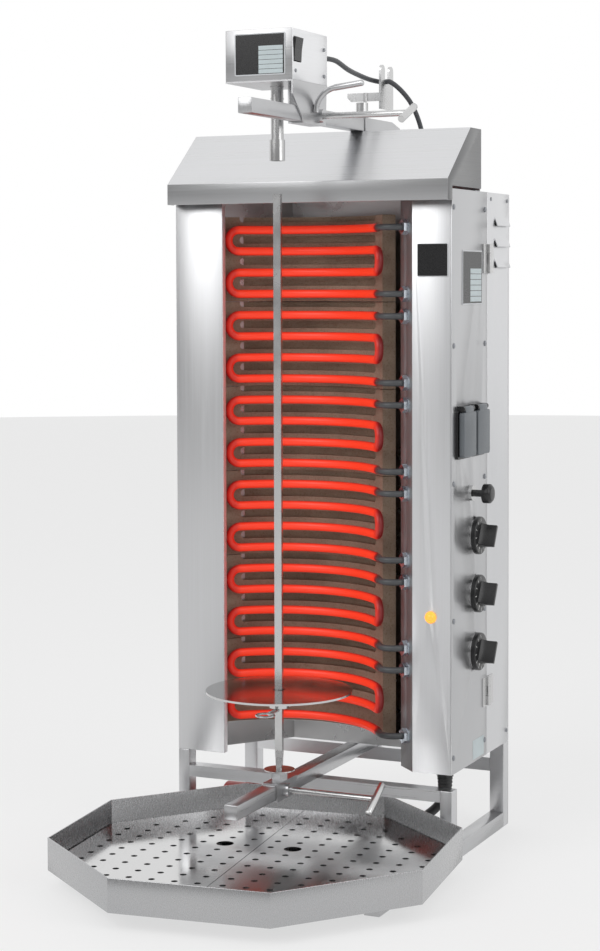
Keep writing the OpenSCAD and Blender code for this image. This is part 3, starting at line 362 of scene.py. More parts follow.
tray_steel = polished_steel("steel_tray_mirror", 0.62, 0.1)
rod_steel = polished_steel("steel_turned_rods", 0.62, 0.2, (1, 1, 0.05))
cavity_steel = polished_steel("steel_cavity", 0.5, 0.26, ALONG_Z)
dress(tray_steel, "tray_plate_left", "tray_plate_right", "deflector_disc", "meat_disc")
dress(brushed_steel("steel_tray_wall", 0.5, (1, 1, 0.3), 0.26), "drip_tray")
dress(rod_steel, "spit", "drive_shaft", "upper_clamp", "lower_clamp", "retaining_pin",
      "arm_pin", "cable_fork", "hinge_fixed", "hinge_moving", "panel_bezels")
dress(cavity_steel, "recess_sheet")
print("polished parts dressed")

# %% [markdown]
# The fire bricks are pressed from pale clay. Broad clouds shift their tan, grains and
# pores roughen them, and the heat has baked brown patches into the face.
# %% Fire brick
fire_brick = new_finish("fire_brick", (0.46, 0.34, 0.25), 0.9)
clay_cloud = noise_over(fire_brick, (1, 1, 1), 14, 5, 0.65)
clay_grain = noise_over(fire_brick, (1, 1, 1), 420, 4, 0.7)
clay_colour = add_node(fire_brick, "ShaderNodeMix", data_type="RGBA", blend_type="MULTIPLY")
clay_colour.inputs["Factor"].default_value = 1
wire(fire_brick, blend_colours(fire_brick, spread(fire_brick, clay_cloud, 0, 1),
                               (0.33, 0.25, 0.185), (0.5, 0.4, 0.3)), clay_colour.inputs["A"])
wire(fire_brick, blend_colours(fire_brick, spread(fire_brick, clay_grain, 0, 1, 0.32, 0.5),
                               (0.74, 0.7, 0.66), (1, 1, 1)), clay_colour.inputs["B"])
wire(fire_brick, clay_colour.outputs["Result"], shader_of(fire_brick).inputs["Base Color"])
dent(fire_brick, clay_grain, 0.5, 0.0008)
dress(fire_brick, "heat_bricks")
print("bricks dressed")

# %% [markdown]
# A heating element is a steel tube with a glowing wire inside. The tube glows along its
# arc and stays dark at the ends that carry the nuts. Each vertex keeps its own heat with a
# painted shade, and the material turns that number into light and into a red base colour,
# a painted glow.
# %% Glowing tube finish
glow = new_finish("glowing_tube", (0.09, 0.05, 0.05), 0.38, 0.0, Emission_Strength=0.42)
heat_and_shade_node = add_node(glow, "ShaderNodeAttribute", attribute_name="heat_and_painted_shade")


def heat_and_shade_colours(stops, target):
    """Colours over the stored heat and painted shade, from 0 to 1, wired to a socket of the
    shader.
    """
    node = add_node(glow, "ShaderNodeValToRGB")
    ramp = node.color_ramp
    for place, _ in stops[1:-1]:
        ramp.elements.new(place)
    for element, (place, colour) in zip(ramp.elements, stops):
        element.position = place
        element.color = (*colour, 1)
    wire(glow, heat_and_shade_node.outputs["Fac"], node.inputs["Fac"])
    wire(glow, node.outputs["Color"], shader_of(glow).inputs[target])


heat_and_shade_colours(((0.0, (0, 0, 0)), (0.3, (0.1, 0.002, 0.002)), (0.6, (0.55, 0.012, 0.01)),
              (1.0, (1.0, 0.045, 0.012))), "Emission Color")
# Painted glow: the base colour turns red with the stored number, on top of the tube's own light.
heat_and_shade_colours(((0.0, (0.075, 0.078, 0.082)), (0.12, (0.07, 0.045, 0.045)),
              (0.4, (0.3, 0.01, 0.01)), (1.0, (0.85, 0.05, 0.02))), "Base Color")
dent(glow, noise_over(glow, (1, 1, 1), 700, 3), 0.1, 0.0003)
print("glow mixed")

# %% [markdown]
# The plastics, the rubber and the painted parts share one recipe: a plain colour with a
# fine moulded grain in height and roughness, and a soft change of tone.
# %% Plastics, rubber and plates
def moulded(name, colour, roughness, grain=0.12, scale=900, **more):
    finish = new_finish(name, colour, roughness, **more)
    pores = noise_over(finish, (1, 1, 1), scale, 3)
    tone = noise_over(finish, (1, 1, 1), 22, 3)
    wire(finish, spread(finish, pores, roughness - 0.06, roughness + 0.08),
         shader_of(finish).inputs["Roughness"])
    wire(finish, blend_colours(finish, tone, tuple(c * 0.8 for c in colour),
                               tuple(c * 1.18 for c in colour)),
         shader_of(finish).inputs["Base Color"])
    dent(finish, pores, grain, 0.0003)
    return finish


black_plastic = moulded("black_plastic", (0.012, 0.012, 0.013), 0.3)
grey_plastic = moulded("grey_plastic", (0.15, 0.165, 0.18), 0.42)
ivory_plastic = moulded("ivory_plastic", (0.72, 0.68, 0.56), 0.45)
red_plastic = moulded("red_plastic", (0.42, 0.02, 0.015), 0.35)
cable_rubber = moulded("cable_rubber", (0.02, 0.02, 0.021), 0.5, 0.2)
grey_rubber = moulded("motor_cable_rubber", (0.075, 0.078, 0.085), 0.45, 0.2)
black_paint = moulded("black_plate_paint", (0.008, 0.008, 0.009), 0.24, 0.04)
label_silver = moulded("label_silver", (0.66, 0.68, 0.7), 0.34, 0.05)
label_pale = moulded("label_pale", (0.6, 0.68, 0.7), 0.4, 0.05)
white_print = moulded("white_print", (0.78, 0.78, 0.76), 0.5, 0.05)
cast_steel = moulded("cast_motor_paint", (0.09, 0.095, 0.1), 0.45, 0.3, 500)
dress(black_plastic, "knob_1", "knob_2", "knob_3", "push_knob", "rocker_switch",
      "cable_glands", "sockets")
dress(grey_plastic, "socket_lid_front", "socket_lid_rear")
dress(ivory_plastic, "rotary_switches")
dress(red_plastic, "mains_plug")
dress(cable_rubber, "mains_cable", "cable_coil")
dress(grey_rubber, "motor_cable_front", "motor_cable_rear")
dress(cast_steel, "gear_motor")
for piece, finish in ((mains_lead, cable_rubber), (strain_relief, cable_rubber),
                      (motor_cable, grey_rubber)):
    piece.data.materials.append(finish)
print("plastics and rubber mixed")

# %% [markdown]
# Small metal finishes: zinc on the nuts has a cool, slightly mottled shine, the screws
# are dark, and the amber lens of the lamp glows from inside.
# %% Zinc, screws and lamp
zinc = new_finish("zinc_plating", (0.62, 0.66, 0.72), 0.3, 1.0)
spangle = noise_over(zinc, (1, 1, 1), 160, 4)
wire(zinc, spread(zinc, spangle, 0.2, 0.42), shader_of(zinc).inputs["Roughness"])
wire(zinc, blend_colours(zinc, spangle, (0.5, 0.55, 0.62), (0.72, 0.76, 0.8)),
     shader_of(zinc).inputs["Base Color"])
screw_steel = new_finish("screw_steel", (0.3, 0.31, 0.33), 0.35, 1.0)
wire(screw_steel, spread(screw_steel, noise_over(screw_steel, (1, 1, 1), 500, 3), 0.28, 0.46),
     shader_of(screw_steel).inputs["Roughness"])
amber = new_finish("amber_lens", (0.85, 0.3, 0.03), 0.2, Emission_Strength=0.9)
wire(amber, blend_colours(amber, noise_over(amber, (1, 1, 1), 260, 2), (1, 0.3, 0.02),
                          (1, 0.62, 0.12)), shader_of(amber).inputs["Emission Color"])
dress(zinc, "terminal_nuts")
dress(screw_steel, "panel_screws")
dress(amber, "lamp")

# %% [markdown]
# Edges. A real edge is never perfectly sharp, and its thin highlight tells the eye what
# the part is made of. This helper copies a measured part, joins its loose triangles,
# melts the flat ones together and bevels the sharp edges. Large faces stay flat, and
# small ones, given in square metres, are shaded smooth.
# %% Rounded edges on a copy
SHARP_CORNER = 35
LARGE_FACE = 2e-4


def mesh_object(name, shape):
    """The built shape as an object of the scene."""
    mesh = bpy.data.meshes.new(name)
    shape.to_mesh(mesh)
    shape.free()
    made = bpy.data.objects.new(name, mesh)
    bpy.context.scene.collection.objects.link(made)
    return made


def softened(node_name, width):
    node = frame["nodes"][node_name]
    shape = bmesh.new()
    shape.from_mesh(node.data)
    bmesh.ops.remove_doubles(shape, verts=shape.verts, dist=1e-6)
    bmesh.ops.dissolve_limit(shape, angle_limit=math.radians(0.5), verts=shape.verts,
                             edges=shape.edges)
    edges = [e for e in shape.edges if len(e.link_faces) == 2
             and e.calc_face_angle(0) > math.radians(SHARP_CORNER)]
    bmesh.ops.bevel(shape, geom=edges, offset=width / 1000, offset_type="OFFSET",
                    affect="EDGES", segments=2, profile=0.5, material=-1,
                    clamp_overlap=True)
    piece = mesh_object(node_name + "_soft", shape)
    for face in piece.data.polygons:
        face.use_smooth = face.area < LARGE_FACE
    piece.data.set_sharp_from_angle(angle=math.radians(32))
    piece.data.materials.append(node.material_slots[0].material)
    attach(piece, node["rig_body"])
    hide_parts(node_name)
    return piece


def repaint(piece, finish, wanted):
    """Gives the finish to the faces whose normal and centre are wanted."""
    piece.data.materials.append(finish)
    for face in piece.data.polygons:
        if wanted(face.normal, face.center):
            face.material_index = len(piece.data.materials) - 1


# %% [markdown]
# The knobs, lids and the motor box are seen closest, so they get the round edges.
# %% Round the moulded parts
dress(brushed_steel("steel_motor_box", 0.86, ALONG_Y, 0.32), "motor_cover")
for name, width in (("knob_1", 0.9), ("knob_2", 0.9), ("knob_3", 0.9), ("push_knob", 0.8),
                    ("socket_lid_front", 0.9), ("socket_lid_rear", 0.9),
                    ("motor_cover", 0.9), ("upper_arm", 0.9), ("lower_arm", 0.9),
                    ("upper_clamp", 0.9), ("lower_clamp", 0.9), ("drip_tray", 0.4),
                    ("base_rails", 1.2), ("stand_posts", 1.0)):
    soft = softened(name, width)
    print(soft.name, len(soft.data.polygons), "faces")

# %% [markdown]
# A bent sheet catches the room differently on each of its sides, and the shop grinds
# them in different directions. The hood's lip and gables, the motor box's front and the right
# wing's terminal wall get their own darker steel by the way that their faces look, a painted
# shade; the left wing's front flange gets a near-white steel, a painted highlight.
# %% Hood, motor front and left wing
hood = softened("hood", 0.9)
# Painted shade on the hood's gables.
repaint(hood, gable_shade_steel, lambda normal, centre: abs(normal.x) > 0.9)
# Painted shade on the hood's front lip.
repaint(hood, lip_shade_steel, lambda normal, centre: normal.y < -0.9)
# Painted shade: the motor box's front face gets a darker copy of its steel.
motor_front_shade_steel = brushed_steel("steel_motor_front_painted_shade", 0.5, ALONG_X, 0.3)
repaint(bpy.data.objects["motor_cover_soft"], motor_front_shade_steel,
        lambda normal, centre: normal.y < -0.9)
left_casing = softened("left_casing", 0.9)
# Painted highlight: the left wing's front flange gets a near-white copy of its steel.
flange_highlight_steel = brushed_steel("steel_wing_flange_painted_highlight", 0.98, ALONG_Z, 0.55)
repaint(left_casing, flange_highlight_steel,
        lambda normal, centre: normal.x > 0.9 and centre.y < cabinet_front + 0.012)
right_wing = softened("right_wing", 0.9)
# Painted shade: the right wing's angled terminal wall gets a darker copy of its steel.
terminal_shade_steel = brushed_steel("steel_terminal_wall_painted_shade", 0.4, ALONG_Z, 0.5)
repaint(right_wing, terminal_shade_steel, lambda normal, centre: abs(normal.x + normal.y) < 0.1
        or normal.x < -0.5)
for name in ("control_panel", "rear_housing"):
    softened(name, 0.7)
print("hood, wings and motor front painted")

# %% [markdown]
# The heated tubes again, now truly round. Each one starts behind the angled wall, runs
# four times across the brick and returns. The numbers are those of the real bends.
# %% Heating tubes
arc_x, arc_y, arc_radius = -28, -56, 137
arc_left, arc_right = -44, 54
BRICKS, PASSES = 6, 4
brick_height = 113.3
pass_pitch = brick_height / PASSES
CABINET_WIDTH, RIGHT_WING = 390, 53.4
TERMINAL_ALONG_WALL, TERMINAL_RUN, BEHIND_WALL = 18, 10, 24
ROOT = math.sqrt(2)
wall_x = CABINET_WIDTH / 2 - RIGHT_WING - TERMINAL_ALONG_WALL / ROOT
wall_y = TERMINAL_ALONG_WALL / ROOT
start_x, start_y = wall_x - TERMINAL_RUN / ROOT, wall_y - TERMINAL_RUN / ROOT
off_x, off_y = start_x - arc_x, start_y - arc_y
bend = (off_x ** 2 + off_y ** 2 - arc_radius ** 2) / (
    2 * (arc_radius - (off_y - off_x) / ROOT))
bend_x, bend_y = start_x - bend / ROOT, start_y + bend / ROOT
arc_leave = math.degrees(math.atan2(bend_x - arc_x, bend_y - arc_y))
print("bend radius", round(bend, 1), "mm, leaves the arc at", round(arc_leave, 1), "degrees")


def arc_run(start, end, height, steps):
    angles = [math.radians(start + (end - start) * i / steps) for i in range(steps + 1)]
    return [at(arc_x + arc_radius * math.sin(a), arc_y + arc_radius * math.cos(a), height)
            for a in angles]


def return_bend(angle, top, outward, steps=12):
    a = math.radians(angle)
    line = []
    for i in range(1, steps):
        t = math.pi * i / steps
        side = outward * pass_pitch / 2 * math.sin(t)
        line.append(at(arc_x + arc_radius * math.sin(a) + side * math.cos(a),
                       arc_y + arc_radius * math.cos(a) - side * math.sin(a),
                       top - pass_pitch / 2 * (1 - math.cos(t))))
    return line


def cold_end(height, steps=12):
    line = [at(start_x + BEHIND_WALL / ROOT, start_y + BEHIND_WALL / ROOT, height)]
    for i in range(steps):
        a = math.radians(315 - (arc_leave + 45) * i / steps)
        line.append(at(bend_x + bend * math.cos(a), bend_y + bend * math.sin(a), height))
    return line


def element_line(top):
    heights = [top - pass_pitch * i for i in range(PASSES)]
    return (cold_end(heights[0]) + arc_run(arc_leave, arc_left, heights[0], 30)
            + return_bend(arc_left, heights[0], -1)
            + arc_run(arc_left, arc_right, heights[1], 30)
            + return_bend(arc_right, heights[1], 1)
            + arc_run(arc_right, arc_left, heights[2], 30)
            + return_bend(arc_left, heights[2], -1)
            + arc_run(arc_left, arc_leave, heights[3], 30) + cold_end(heights[3])[::-1])


# %% [markdown]
# The heat stored at a vertex is highest on the side that faces the spit, a painted shade
# that darkens the tube's top and bottom. It falls by up to three tenths in the return bends
# and to nothing at the cold ends. The hot tube is drawn thicker than its cold ends.
# %% Bend the tubes and store their heat
HOT_SWELL, COLD_SWELL = 1.24, 0.92
COLD_FROM, COLD_OVER = 56.5, 2.5
# The first number is the painted shade level at a tube's top and bottom.
PAINTED_EDGE_SHADE, BEND_LOSS = 0.42, 0.3
TUBE_RADIUS = 0.0045


def element_angle(place):
    x, y = place.x * 1000 - arc_x, (place.y - cabinet_front) * 1000 - arc_y
    return math.degrees(math.atan2(x, y))


def cold_share(place, top):
    """1 on the cold ends, 0 on the glowing line."""
    outer = min(abs(place.z * 1000 - top), abs(place.z * 1000 - top + 3 * pass_pitch))
    return max(0.0, min(1.0, (element_angle(place) - COLD_FROM) / COLD_OVER)) if outer < 7 else 0.0


def element_heat_and_shade(place, normal, top):
    angle = element_angle(place)
    # Painted shade: brightest on the side that faces the spit, darker at the tube's top and
    # bottom.
    to_centre = Vector((arc_x / 1000 - place.x, arc_y / 1000 + cabinet_front - place.y, 0))
    front = max(0.0, normal.dot(to_centre.normalized()))
    painted_shade_band = PAINTED_EDGE_SHADE + (1 - PAINTED_EDGE_SHADE) * min(1.0, front * 1.35)
    beyond = max((angle - arc_right) / 6, (arc_left - angle) / 3, 0)
    at_bend = 1 - BEND_LOSS * min(beyond, 1)
    return painted_shade_band * at_bend * (1 - cold_share(place, top))


CABINET_FOOT, BRICK_RISE, FIRST_PASS_DROP = 114, 33, 4
brick_base = CABINET_FOOT + BRICK_RISE
for k in range(1, BRICKS + 1):
    top = brick_base + (BRICKS - k) * brick_height + brick_height - (
        (brick_height - 3 * pass_pitch) / 2 + FIRST_PASS_DROP)
    line = element_line(top)
    swell = [HOT_SWELL - (HOT_SWELL - COLD_SWELL) * cold_share(place, top) for place in line]
    tube = as_mesh(tube_curve(f"heating_tube_{k}", line, TUBE_RADIUS, swell))
    # The stored number holds the heat together with the painted shade.
    stored = tube.data.attributes.new("heat_and_painted_shade", "FLOAT", "POINT")
    for i, vertex in enumerate(tube.data.vertices):
        stored.data[i].value = element_heat_and_shade(vertex.co, vertex.normal, top)
    tube.data.materials.append(glow)
    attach(tube, "cabinet")
    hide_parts(f"heating_element_{k}")
    dress(glow, f"heating_element_{k}")
print("heating tubes bent, faces in the last one", len(tube.data.polygons))

# %% [markdown]
# Each fire brick is a slice of a thick ring with four long slots. The slice is spun from
# its section. A slot's cutter starts as a circle pulled apart into a stadium; cuts across
# it let it bend round the ring, and a boolean takes it out of the brick.
# %% Bricks
BRICK_FACE, BRICK_BACK = 149, 167
BRICK_FROM, BRICK_TO = -51, 48.5
BRICK_JOINT = 0.8
SLOT_FROM, SLOT_TO = -40, 38
SLOT_HALF, SLOT_DEPTH, SLOT_PIECES = 5.0, 8.0, 32
CUTTER_LEAD = 3
FIRST_SLOT, SLOT_LIFT = 18.2, 1.2


def ring_place(degrees, reach, height):
    a = math.radians(degrees)
    return at(arc_x + reach * math.sin(a), arc_y + reach * math.cos(a), height)


def brick_shape(low, high):
    shape = bmesh.new()
    corners = [shape.verts.new(ring_place(BRICK_FROM, reach, z)) for reach, z in (
        (BRICK_FACE, low), (BRICK_BACK, low), (BRICK_BACK, high), (BRICK_FACE, high))]
    section = shape.faces.new(corners)
    bmesh.ops.spin(shape, geom=[section, *section.edges, *section.verts],
                   cent=at(arc_x, arc_y, 0), axis=(0, 0, -1), dvec=(0, 0, 0),
                   angle=math.radians(BRICK_TO - BRICK_FROM), steps=40, use_merge=False)
    bmesh.ops.recalc_face_normals(shape, faces=shape.faces)
    return shape


def slot_cutter(height):
    run = math.radians(SLOT_TO - SLOT_FROM) * BRICK_FACE
    shape = bmesh.new()
    made = bmesh.ops.create_circle(shape, cap_ends=True, segments=20,
                                    radius=SLOT_HALF)["verts"]
    for vert in made:
        vert.co.x += math.copysign(run / 2, vert.co.x)
    for i in range(1, SLOT_PIECES):
        bmesh.ops.bisect_plane(shape, geom=[*shape.faces, *shape.edges, *shape.verts],
                               plane_co=(run * (i / SLOT_PIECES - 0.5), 0, 0),
                               plane_no=(1, 0, 0))
    pulled = bmesh.ops.extrude_face_region(shape, geom=list(shape.faces))
    top = [v for v in pulled["geom"] if isinstance(v, bmesh.types.BMVert)]
    bmesh.ops.translate(shape, vec=(0, 0, SLOT_DEPTH + CUTTER_LEAD), verts=top)
    middle = (SLOT_FROM + SLOT_TO) / 2
    for vert in shape.verts:
        angle = middle + math.degrees(vert.co.x / BRICK_FACE)
        vert.co = ring_place(angle, BRICK_FACE - CUTTER_LEAD + vert.co.z, height + vert.co.y)
    bmesh.ops.recalc_face_normals(shape, faces=shape.faces)
    return shape


for k in range(1, BRICKS + 1):
    low = brick_base + (BRICKS - k) * brick_height
    brick = mesh_object(f"fire_brick_{k}", brick_shape(low, low + brick_height - BRICK_JOINT))
    cuts = bmesh.new()
    for row in range(PASSES):
        one = slot_cutter(low + brick_height - FIRST_SLOT - row * pass_pitch + pass_pitch / 2
                          + SLOT_LIFT)
        held = bpy.data.meshes.new("slot_held")
        one.to_mesh(held)
        one.free()
        cuts.from_mesh(held)
        bpy.data.meshes.remove(held)
    cutter = mesh_object(f"slot_cutter_{k}", cuts)
    cut = brick.modifiers.new("slots", "BOOLEAN")
    cut.operation = "DIFFERENCE"
    cut.solver = "EXACT"
    cut.object = cutter
    bpy.context.view_layer.update()
    done = bpy.data.meshes.new_from_object(brick.evaluated_get(
        bpy.context.evaluated_depsgraph_get()))
    brick.modifiers.clear()
    brick.data = done
    done.name = brick.name
    bpy.data.objects.remove(cutter)
    done.materials.clear()
    done.materials.append(fire_brick)
    for face in done.polygons:
        face.use_smooth = True
    done.set_sharp_from_angle(angle=math.radians(30))
    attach(brick, "cabinet")
    if k == 1:
        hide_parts("heat_bricks")
print("bricks cut, faces in the last one", len(done.polygons))

# %% [markdown]
# The spit is a slim square bar that stopped a little turned. A cube is stretched, cut
# across so that its foot can taper, and rounded along its four edges. The bar ends
# 41.5 mm below the drive shaft.
# %% Spit
SPIT_SIDE, SPIT_TURN = 9.6, 11
SPIT_LENGTH, SPIT_START = 0.721, 0.1275
TAPER_TOP, TAPER_SHARE = -0.338, 0.78
FOOT_RADIUS, FOOT_LENGTH, FOOT_MIDDLE = 0.004, 0.016, -0.368
spit_low, spit_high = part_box("spit")
spit_bar = bmesh.new()
bmesh.ops.create_cube(spit_bar, size=1)
bmesh.ops.scale(spit_bar, vec=(SPIT_SIDE / 1000, SPIT_SIDE / 1000, SPIT_LENGTH),
                verts=spit_bar.verts)
bmesh.ops.bisect_plane(spit_bar, geom=[*spit_bar.faces, *spit_bar.edges, *spit_bar.verts],
                       plane_co=(0, 0, TAPER_TOP), plane_no=(0, 0, 1))
for vert in spit_bar.verts:
    if vert.co.z < -0.35:
        vert.co.x *= TAPER_SHARE
        vert.co.y *= TAPER_SHARE
long_edges = [e for e in spit_bar.edges if abs(e.verts[0].co.z - e.verts[1].co.z) > 0.01]
bmesh.ops.bevel(spit_bar, geom=long_edges, offset=0.0009, offset_type="OFFSET",
                affect="EDGES", segments=2, profile=0.5, material=-1)
foot = bmesh.ops.create_cone(spit_bar, cap_ends=True, segments=24, radius1=FOOT_RADIUS,
                             radius2=FOOT_RADIUS, depth=FOOT_LENGTH)["verts"]
bmesh.ops.translate(spit_bar, vec=(0, 0, FOOT_MIDDLE), verts=foot)
bmesh.ops.rotate(spit_bar, cent=(0, 0, 0), verts=spit_bar.verts,
                 matrix=Matrix.Rotation(math.radians(SPIT_TURN), 3, "Z"))
bar_middle = at(0, -98, 0)
bar_middle.z = SPIT_START + SPIT_LENGTH / 2
bmesh.ops.translate(spit_bar, vec=bar_middle, verts=spit_bar.verts)
spit_piece = mesh_object("spit_bar", spit_bar)
print("spit node from", round(spit_low.z, 4), "to", round(spit_high.z, 4), "bar to",
      round(max(v.co.z for v in spit_piece.data.vertices), 4))
spit_piece.data.materials.append(rod_steel)
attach(spit_piece, "spit")
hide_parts("spit")

# %% [markdown]
# Plates and stickers are thin slabs. A cube is stretched, its four long corners are
# bevelled round, and an inset on the front leaves the bright border.
# %% Slab helper
def slab(name, low, high, corner, finishes, body, border=0.0, thin="x"):
    """A thin plate between two corners; thin names the axis of its thickness."""
    axis = "xyz".index(thin)
    shape = bmesh.new()
    bmesh.ops.create_cube(shape, size=1)
    bmesh.ops.scale(shape, vec=high - low, verts=shape.verts)
    bmesh.ops.translate(shape, vec=(high + low) / 2, verts=shape.verts)
    upright = [e for e in shape.edges
               if abs((e.verts[0].co - e.verts[1].co).normalized()[axis]) > 0.9]
    bmesh.ops.bevel(shape, geom=upright, offset=corner / 1000, offset_type="OFFSET",
                    affect="EDGES", segments=5, profile=0.5, material=-1)
    if border:
        fronts = sorted((f for f in shape.faces if abs(f.normal[axis]) > 0.9),
                        key=lambda f: abs(f.calc_center_median()[axis] - camera.location[axis]))
        inner = fronts[0]
        bmesh.ops.inset_region(shape, faces=[inner], thickness=border / 1000, depth=0)
        inner.material_index = 1
    piece = mesh_object(name, shape)
    for finish in finishes:
        piece.data.materials.append(finish)
    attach(piece, body)
    return piece


# %% [markdown]
# Three dark plates: a big one on the motor box, a square one on the right wing and the
# rating plate on the control panel. They carry no words, only blank pale rows.
# %% Plates
slab("motor_plate", at(-27.1, -162, 990.2), at(40.7, -160.9, 1041), 2.2,
     [label_silver, black_paint], "carriage", 1.3, "y")
for row in range(6):
    z = 992.2 + row * 5.65
    slab(f"motor_plate_row_{row + 1}", at(5.2, -162.15, z), at(37.6, -161.9, z + 5.1), 0.3,
         [label_pale], "carriage", 0, "y")
wing_badge = slab("wing_badge", at(148.9, -1.3, 746), at(189.9, 0.1, 787.2), 1.6,
                  [label_silver, black_paint], "cabinet", 0.5, "y")
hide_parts("wing_plate")
dress(black_paint, "wing_plate")
rating = slab("rating_badge", at(194.9, 37.5, 709.8), at(195.7, 111.5, 779.2), 1.6,
              [label_silver, black_paint], "panel", 1.6, "x")
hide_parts("rating_plate")
dress(label_silver, "rating_plate")
for row in range(6):
    z = 713.5 + row * 7.2
    slab(f"rating_row_{row + 1}", at(195.65, 66, z), at(195.85, 107.5, z + 6.4), 0.3,
         [label_pale], "panel")
slab("panel_sticker", at(194.95, 79, 117.5), at(195.15, 121, 142.5), 1.5, [label_pale], "panel")
print("plates fitted")

# %% [markdown]
# Screw heads: a short cylinder with a bevelled rim, and its largest cap inset and sunk.
# %% Screws
def screw_head(name, place, facing, body, radius=3.2, height=1.6):
    shape = bmesh.new()
    turn = Vector((0, 0, 1)).rotation_difference(Vector(facing)).to_matrix().to_4x4()
    stand = Matrix.Translation(place) @ turn @ Matrix.Translation((0, 0, height / 2000 - 0.0002))
    bmesh.ops.create_cone(shape, cap_ends=True, segments=20, radius1=radius / 1000,
                          radius2=radius / 1000, depth=height / 1000, matrix=stand)
    top = max(shape.faces, key=lambda f: f.calc_center_median().dot(Vector(facing)))
    bmesh.ops.bevel(shape, geom=list(top.edges), offset=0.0006, offset_type="OFFSET",
                    affect="EDGES", segments=2, profile=0.5, material=-1)
    top = max(shape.faces, key=lambda f: f.calc_area())
    bmesh.ops.inset_region(shape, faces=[top], thickness=0.0009, depth=-0.0005)
    piece = mesh_object(name, shape)
    piece.data.materials.append(screw_steel)
    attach(piece, body)


housing_screws = [(195, 147, 847.5), (195, 213.5, 847), (195, 213.5, 130)]
for n, place in enumerate(housing_screws):
    screw_head(f"housing_screw_{n + 1}", at(*place), (1, 0, 0), "cabinet", 2.6, 1.2)
for n in range(4):
    for side, x in (("left", -187), ("right", 187)):
        screw_head(f"back_screw_{side}_{n + 1}", at(x, 222, 135 + 233 * n), (0, 1, 0),
                   "cabinet", 3.2, 1.4)
for n, (y, z) in enumerate(((-66, 1028), (-66, 995), (-152, 995))):
    screw_head(f"motor_screw_{n + 1}", at(50, y, z), (1, 0, 0), "carriage", 2.4, 1.2)
print("screws set")

# %% [markdown]
# Knob scales. A ring of short white ticks and one dot are printed on each skirt. A tick
# is a small flat slab turned about the knob's axis.
# %% Knob scales
SCALE_TICKS, SCALE_SWEEP = 11, 290
DOT_TURN, FIRST_TICK = -29, 35


def knob_scale(k):
    centre = at(203.7, 87, 259 + (3 - k) * 75.7)
    shape = bmesh.new()
    for i in range(SCALE_TICKS):
        angle = math.radians(DOT_TURN + FIRST_TICK + SCALE_SWEEP * i / (SCALE_TICKS - 1))
        made = bmesh.ops.create_cube(shape, size=1)["verts"]
        bmesh.ops.scale(shape, vec=(0.0003, 0.0009, 0.0042), verts=made)
        bmesh.ops.translate(shape, vec=(0, 0, 0.0205), verts=made)
        bmesh.ops.rotate(shape, cent=(0, 0, 0), verts=made,
                         matrix=Matrix.Rotation(angle, 3, "X"))
    dot = bmesh.ops.create_cone(shape, cap_ends=True, segments=14, radius1=0.0016,
                                radius2=0.0016, depth=0.0004)["verts"]
    bmesh.ops.rotate(shape, cent=(0, 0, 0), verts=dot, matrix=Matrix.Rotation(math.pi / 2, 3, "Y"))
    bmesh.ops.translate(shape, vec=(0, 0, -0.0172), verts=dot)
    bmesh.ops.rotate(shape, cent=(0, 0, 0), verts=dot,
                     matrix=Matrix.Rotation(math.radians(DOT_TURN), 3, "X"))
    bmesh.ops.translate(shape, vec=centre, verts=shape.verts)
    piece = mesh_object(f"knob_scale_{k}", shape)
    piece.data.materials.append(white_print)
    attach(piece, f"knob_{k}")


for k in (1, 2, 3):
    knob_scale(k)
print("scales printed")

# %% [markdown]
# The studio. The floor is a wide pale disc. The camera sees it nearly white, but the
# grill's shadow stays on it, because only six tenths of what it shows is its own light.
# %% Floor
floor_shape = bmesh.new()
bmesh.ops.create_circle(floor_shape, cap_ends=True, segments=96, radius=9)
floor = mesh_object("floor", floor_shape)
pale_floor = new_finish("pale_floor", (0.82, 0.82, 0.82), 0.6)
shader_of(pale_floor).inputs["Specular IOR Level"].default_value = 0.2
shine = add_node(pale_floor, "ShaderNodeEmission", {"Strength": 1.0})
seen = add_node(pale_floor, "ShaderNodeLightPath")
mixed = add_node(pale_floor, "ShaderNodeMixShader")
share = add_node(pale_floor, "ShaderNodeMath", operation="MULTIPLY")
share.inputs[1].default_value = 0.6
looked = add_node(pale_floor, "ShaderNodeMath", operation="MAXIMUM")
wire(pale_floor, seen.outputs["Is Camera Ray"], looked.inputs[0])
wire(pale_floor, seen.outputs["Is Glossy Ray"], looked.inputs[1])
wire(pale_floor, looked.outputs[0], share.inputs[0])
wire(pale_floor, share.outputs[0], mixed.inputs["Fac"])
wire(pale_floor, shader_of(pale_floor).outputs[0], mixed.inputs[1])
wire(pale_floor, shine.outputs[0], mixed.inputs[2])
wire(pale_floor, mixed.outputs[0], pale_floor.node_tree.nodes["Material Output"].inputs["Surface"])
floor.data.materials.append(pale_floor)
print("floor laid")

# %% [markdown]
# The room. Behind the grill everything is white. In front of it the room is greyer near
# the horizon, which is what gives brushed steel its mid tones.
# %% Room
room = bpy.data.worlds.new("studio_room")
bpy.context.scene.world = room
room.use_nodes = True
tree = room.node_tree
backdrop = tree.nodes["Background"]
backdrop.inputs["Color"].default_value = (1, 1, 1, 1)


def room_node(kind, **settings):
    node = tree.nodes.new(kind)
    for key, value in settings.items():
        setattr(node, key, value)
    return node


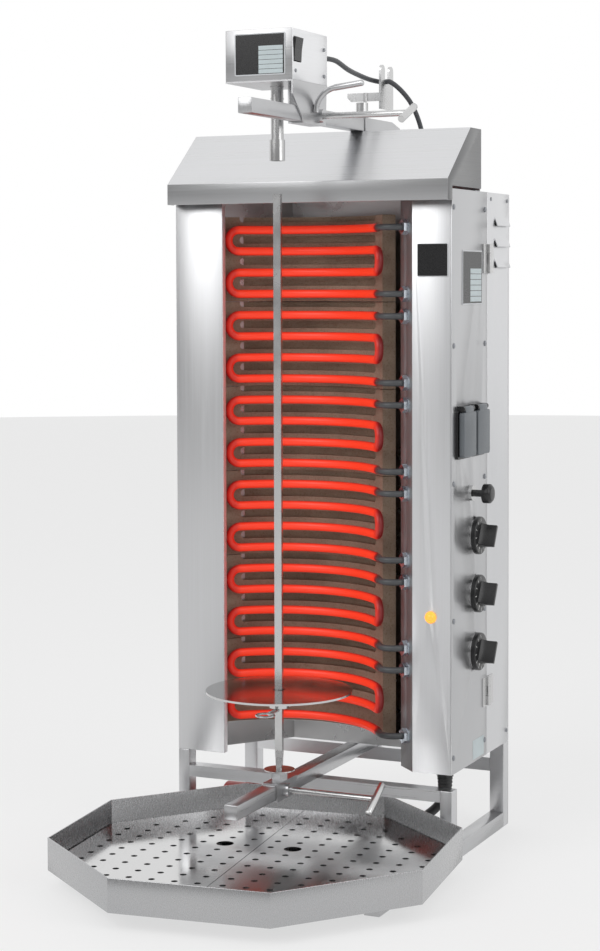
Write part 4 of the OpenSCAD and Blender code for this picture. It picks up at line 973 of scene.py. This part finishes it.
def room_range(value, from_low, from_high, to_low, to_high):
    node = room_node("ShaderNodeMapRange", interpolation_type="SMOOTHSTEP")
    for socket, number in (("From Min", from_low), ("From Max", from_high),
                           ("To Min", to_low), ("To Max", to_high)):
        node.inputs[socket].default_value = number
    tree.links.new(value, node.inputs["Value"])
    return node.outputs["Result"]


direction = room_node("ShaderNodeSeparateXYZ")
tree.links.new(room_node("ShaderNodeTexCoord").outputs["Generated"], direction.inputs[0])
front_tone = room_range(direction.outputs["Z"], 0.1, 0.85, 0.34, 1.0)
back_share = room_range(direction.outputs["Y"], -0.35, 0.3, 0.0, 1.0)
tone = room_node("ShaderNodeMix", data_type="FLOAT")
tree.links.new(back_share, tone.inputs["Factor"])
tree.links.new(front_tone, tone.inputs["A"])
tone.inputs["B"].default_value = 1.0
view_ray = room_node("ShaderNodeLightPath")
shown = room_node("ShaderNodeMix", data_type="FLOAT")
tree.links.new(view_ray.outputs["Is Camera Ray"], shown.inputs["Factor"])
tree.links.new(tone.outputs["Result"], shown.inputs["A"])
shown.inputs["B"].default_value = 1.0
lit = room_node("ShaderNodeMath", operation="MULTIPLY")
level = room_node("ShaderNodeMapRange")
level.inputs["To Min"].default_value = 1.0
level.inputs["To Max"].default_value = 0.62
tree.links.new(view_ray.outputs["Is Diffuse Ray"], level.inputs["Value"])
tree.links.new(shown.outputs["Result"], lit.inputs[0])
tree.links.new(level.outputs["Result"], lit.inputs[1])
tree.links.new(lit.outputs[0], backdrop.inputs["Strength"])
print("room set")

# %% [markdown]
# Two soft boxes: the larger one high at the front left as the key, and a weaker one at
# the right that lifts the control panel.
# %% Lights
def soft_box(name, place, target, size, power):
    light = bpy.data.lights.new(name, "AREA")
    light.shape = "SQUARE"
    light.size = size
    light.energy = power
    box = bpy.data.objects.new(name, light)
    box.location = place
    box.rotation_euler = (Vector(place) - Vector(target)).to_track_quat("Z", "Y").to_euler()
    bpy.context.scene.collection.objects.link(box)


soft_box("key_light", (-1.3, -2.6, 2.4), (0, 0, 0.5), 2.2, 40)
soft_box("side_light", (2.4, -0.6, 1.6), (0, 0, 0.5), 1.6, 14)
bpy.context.scene.view_settings.view_transform = "Standard"
print("lights placed")
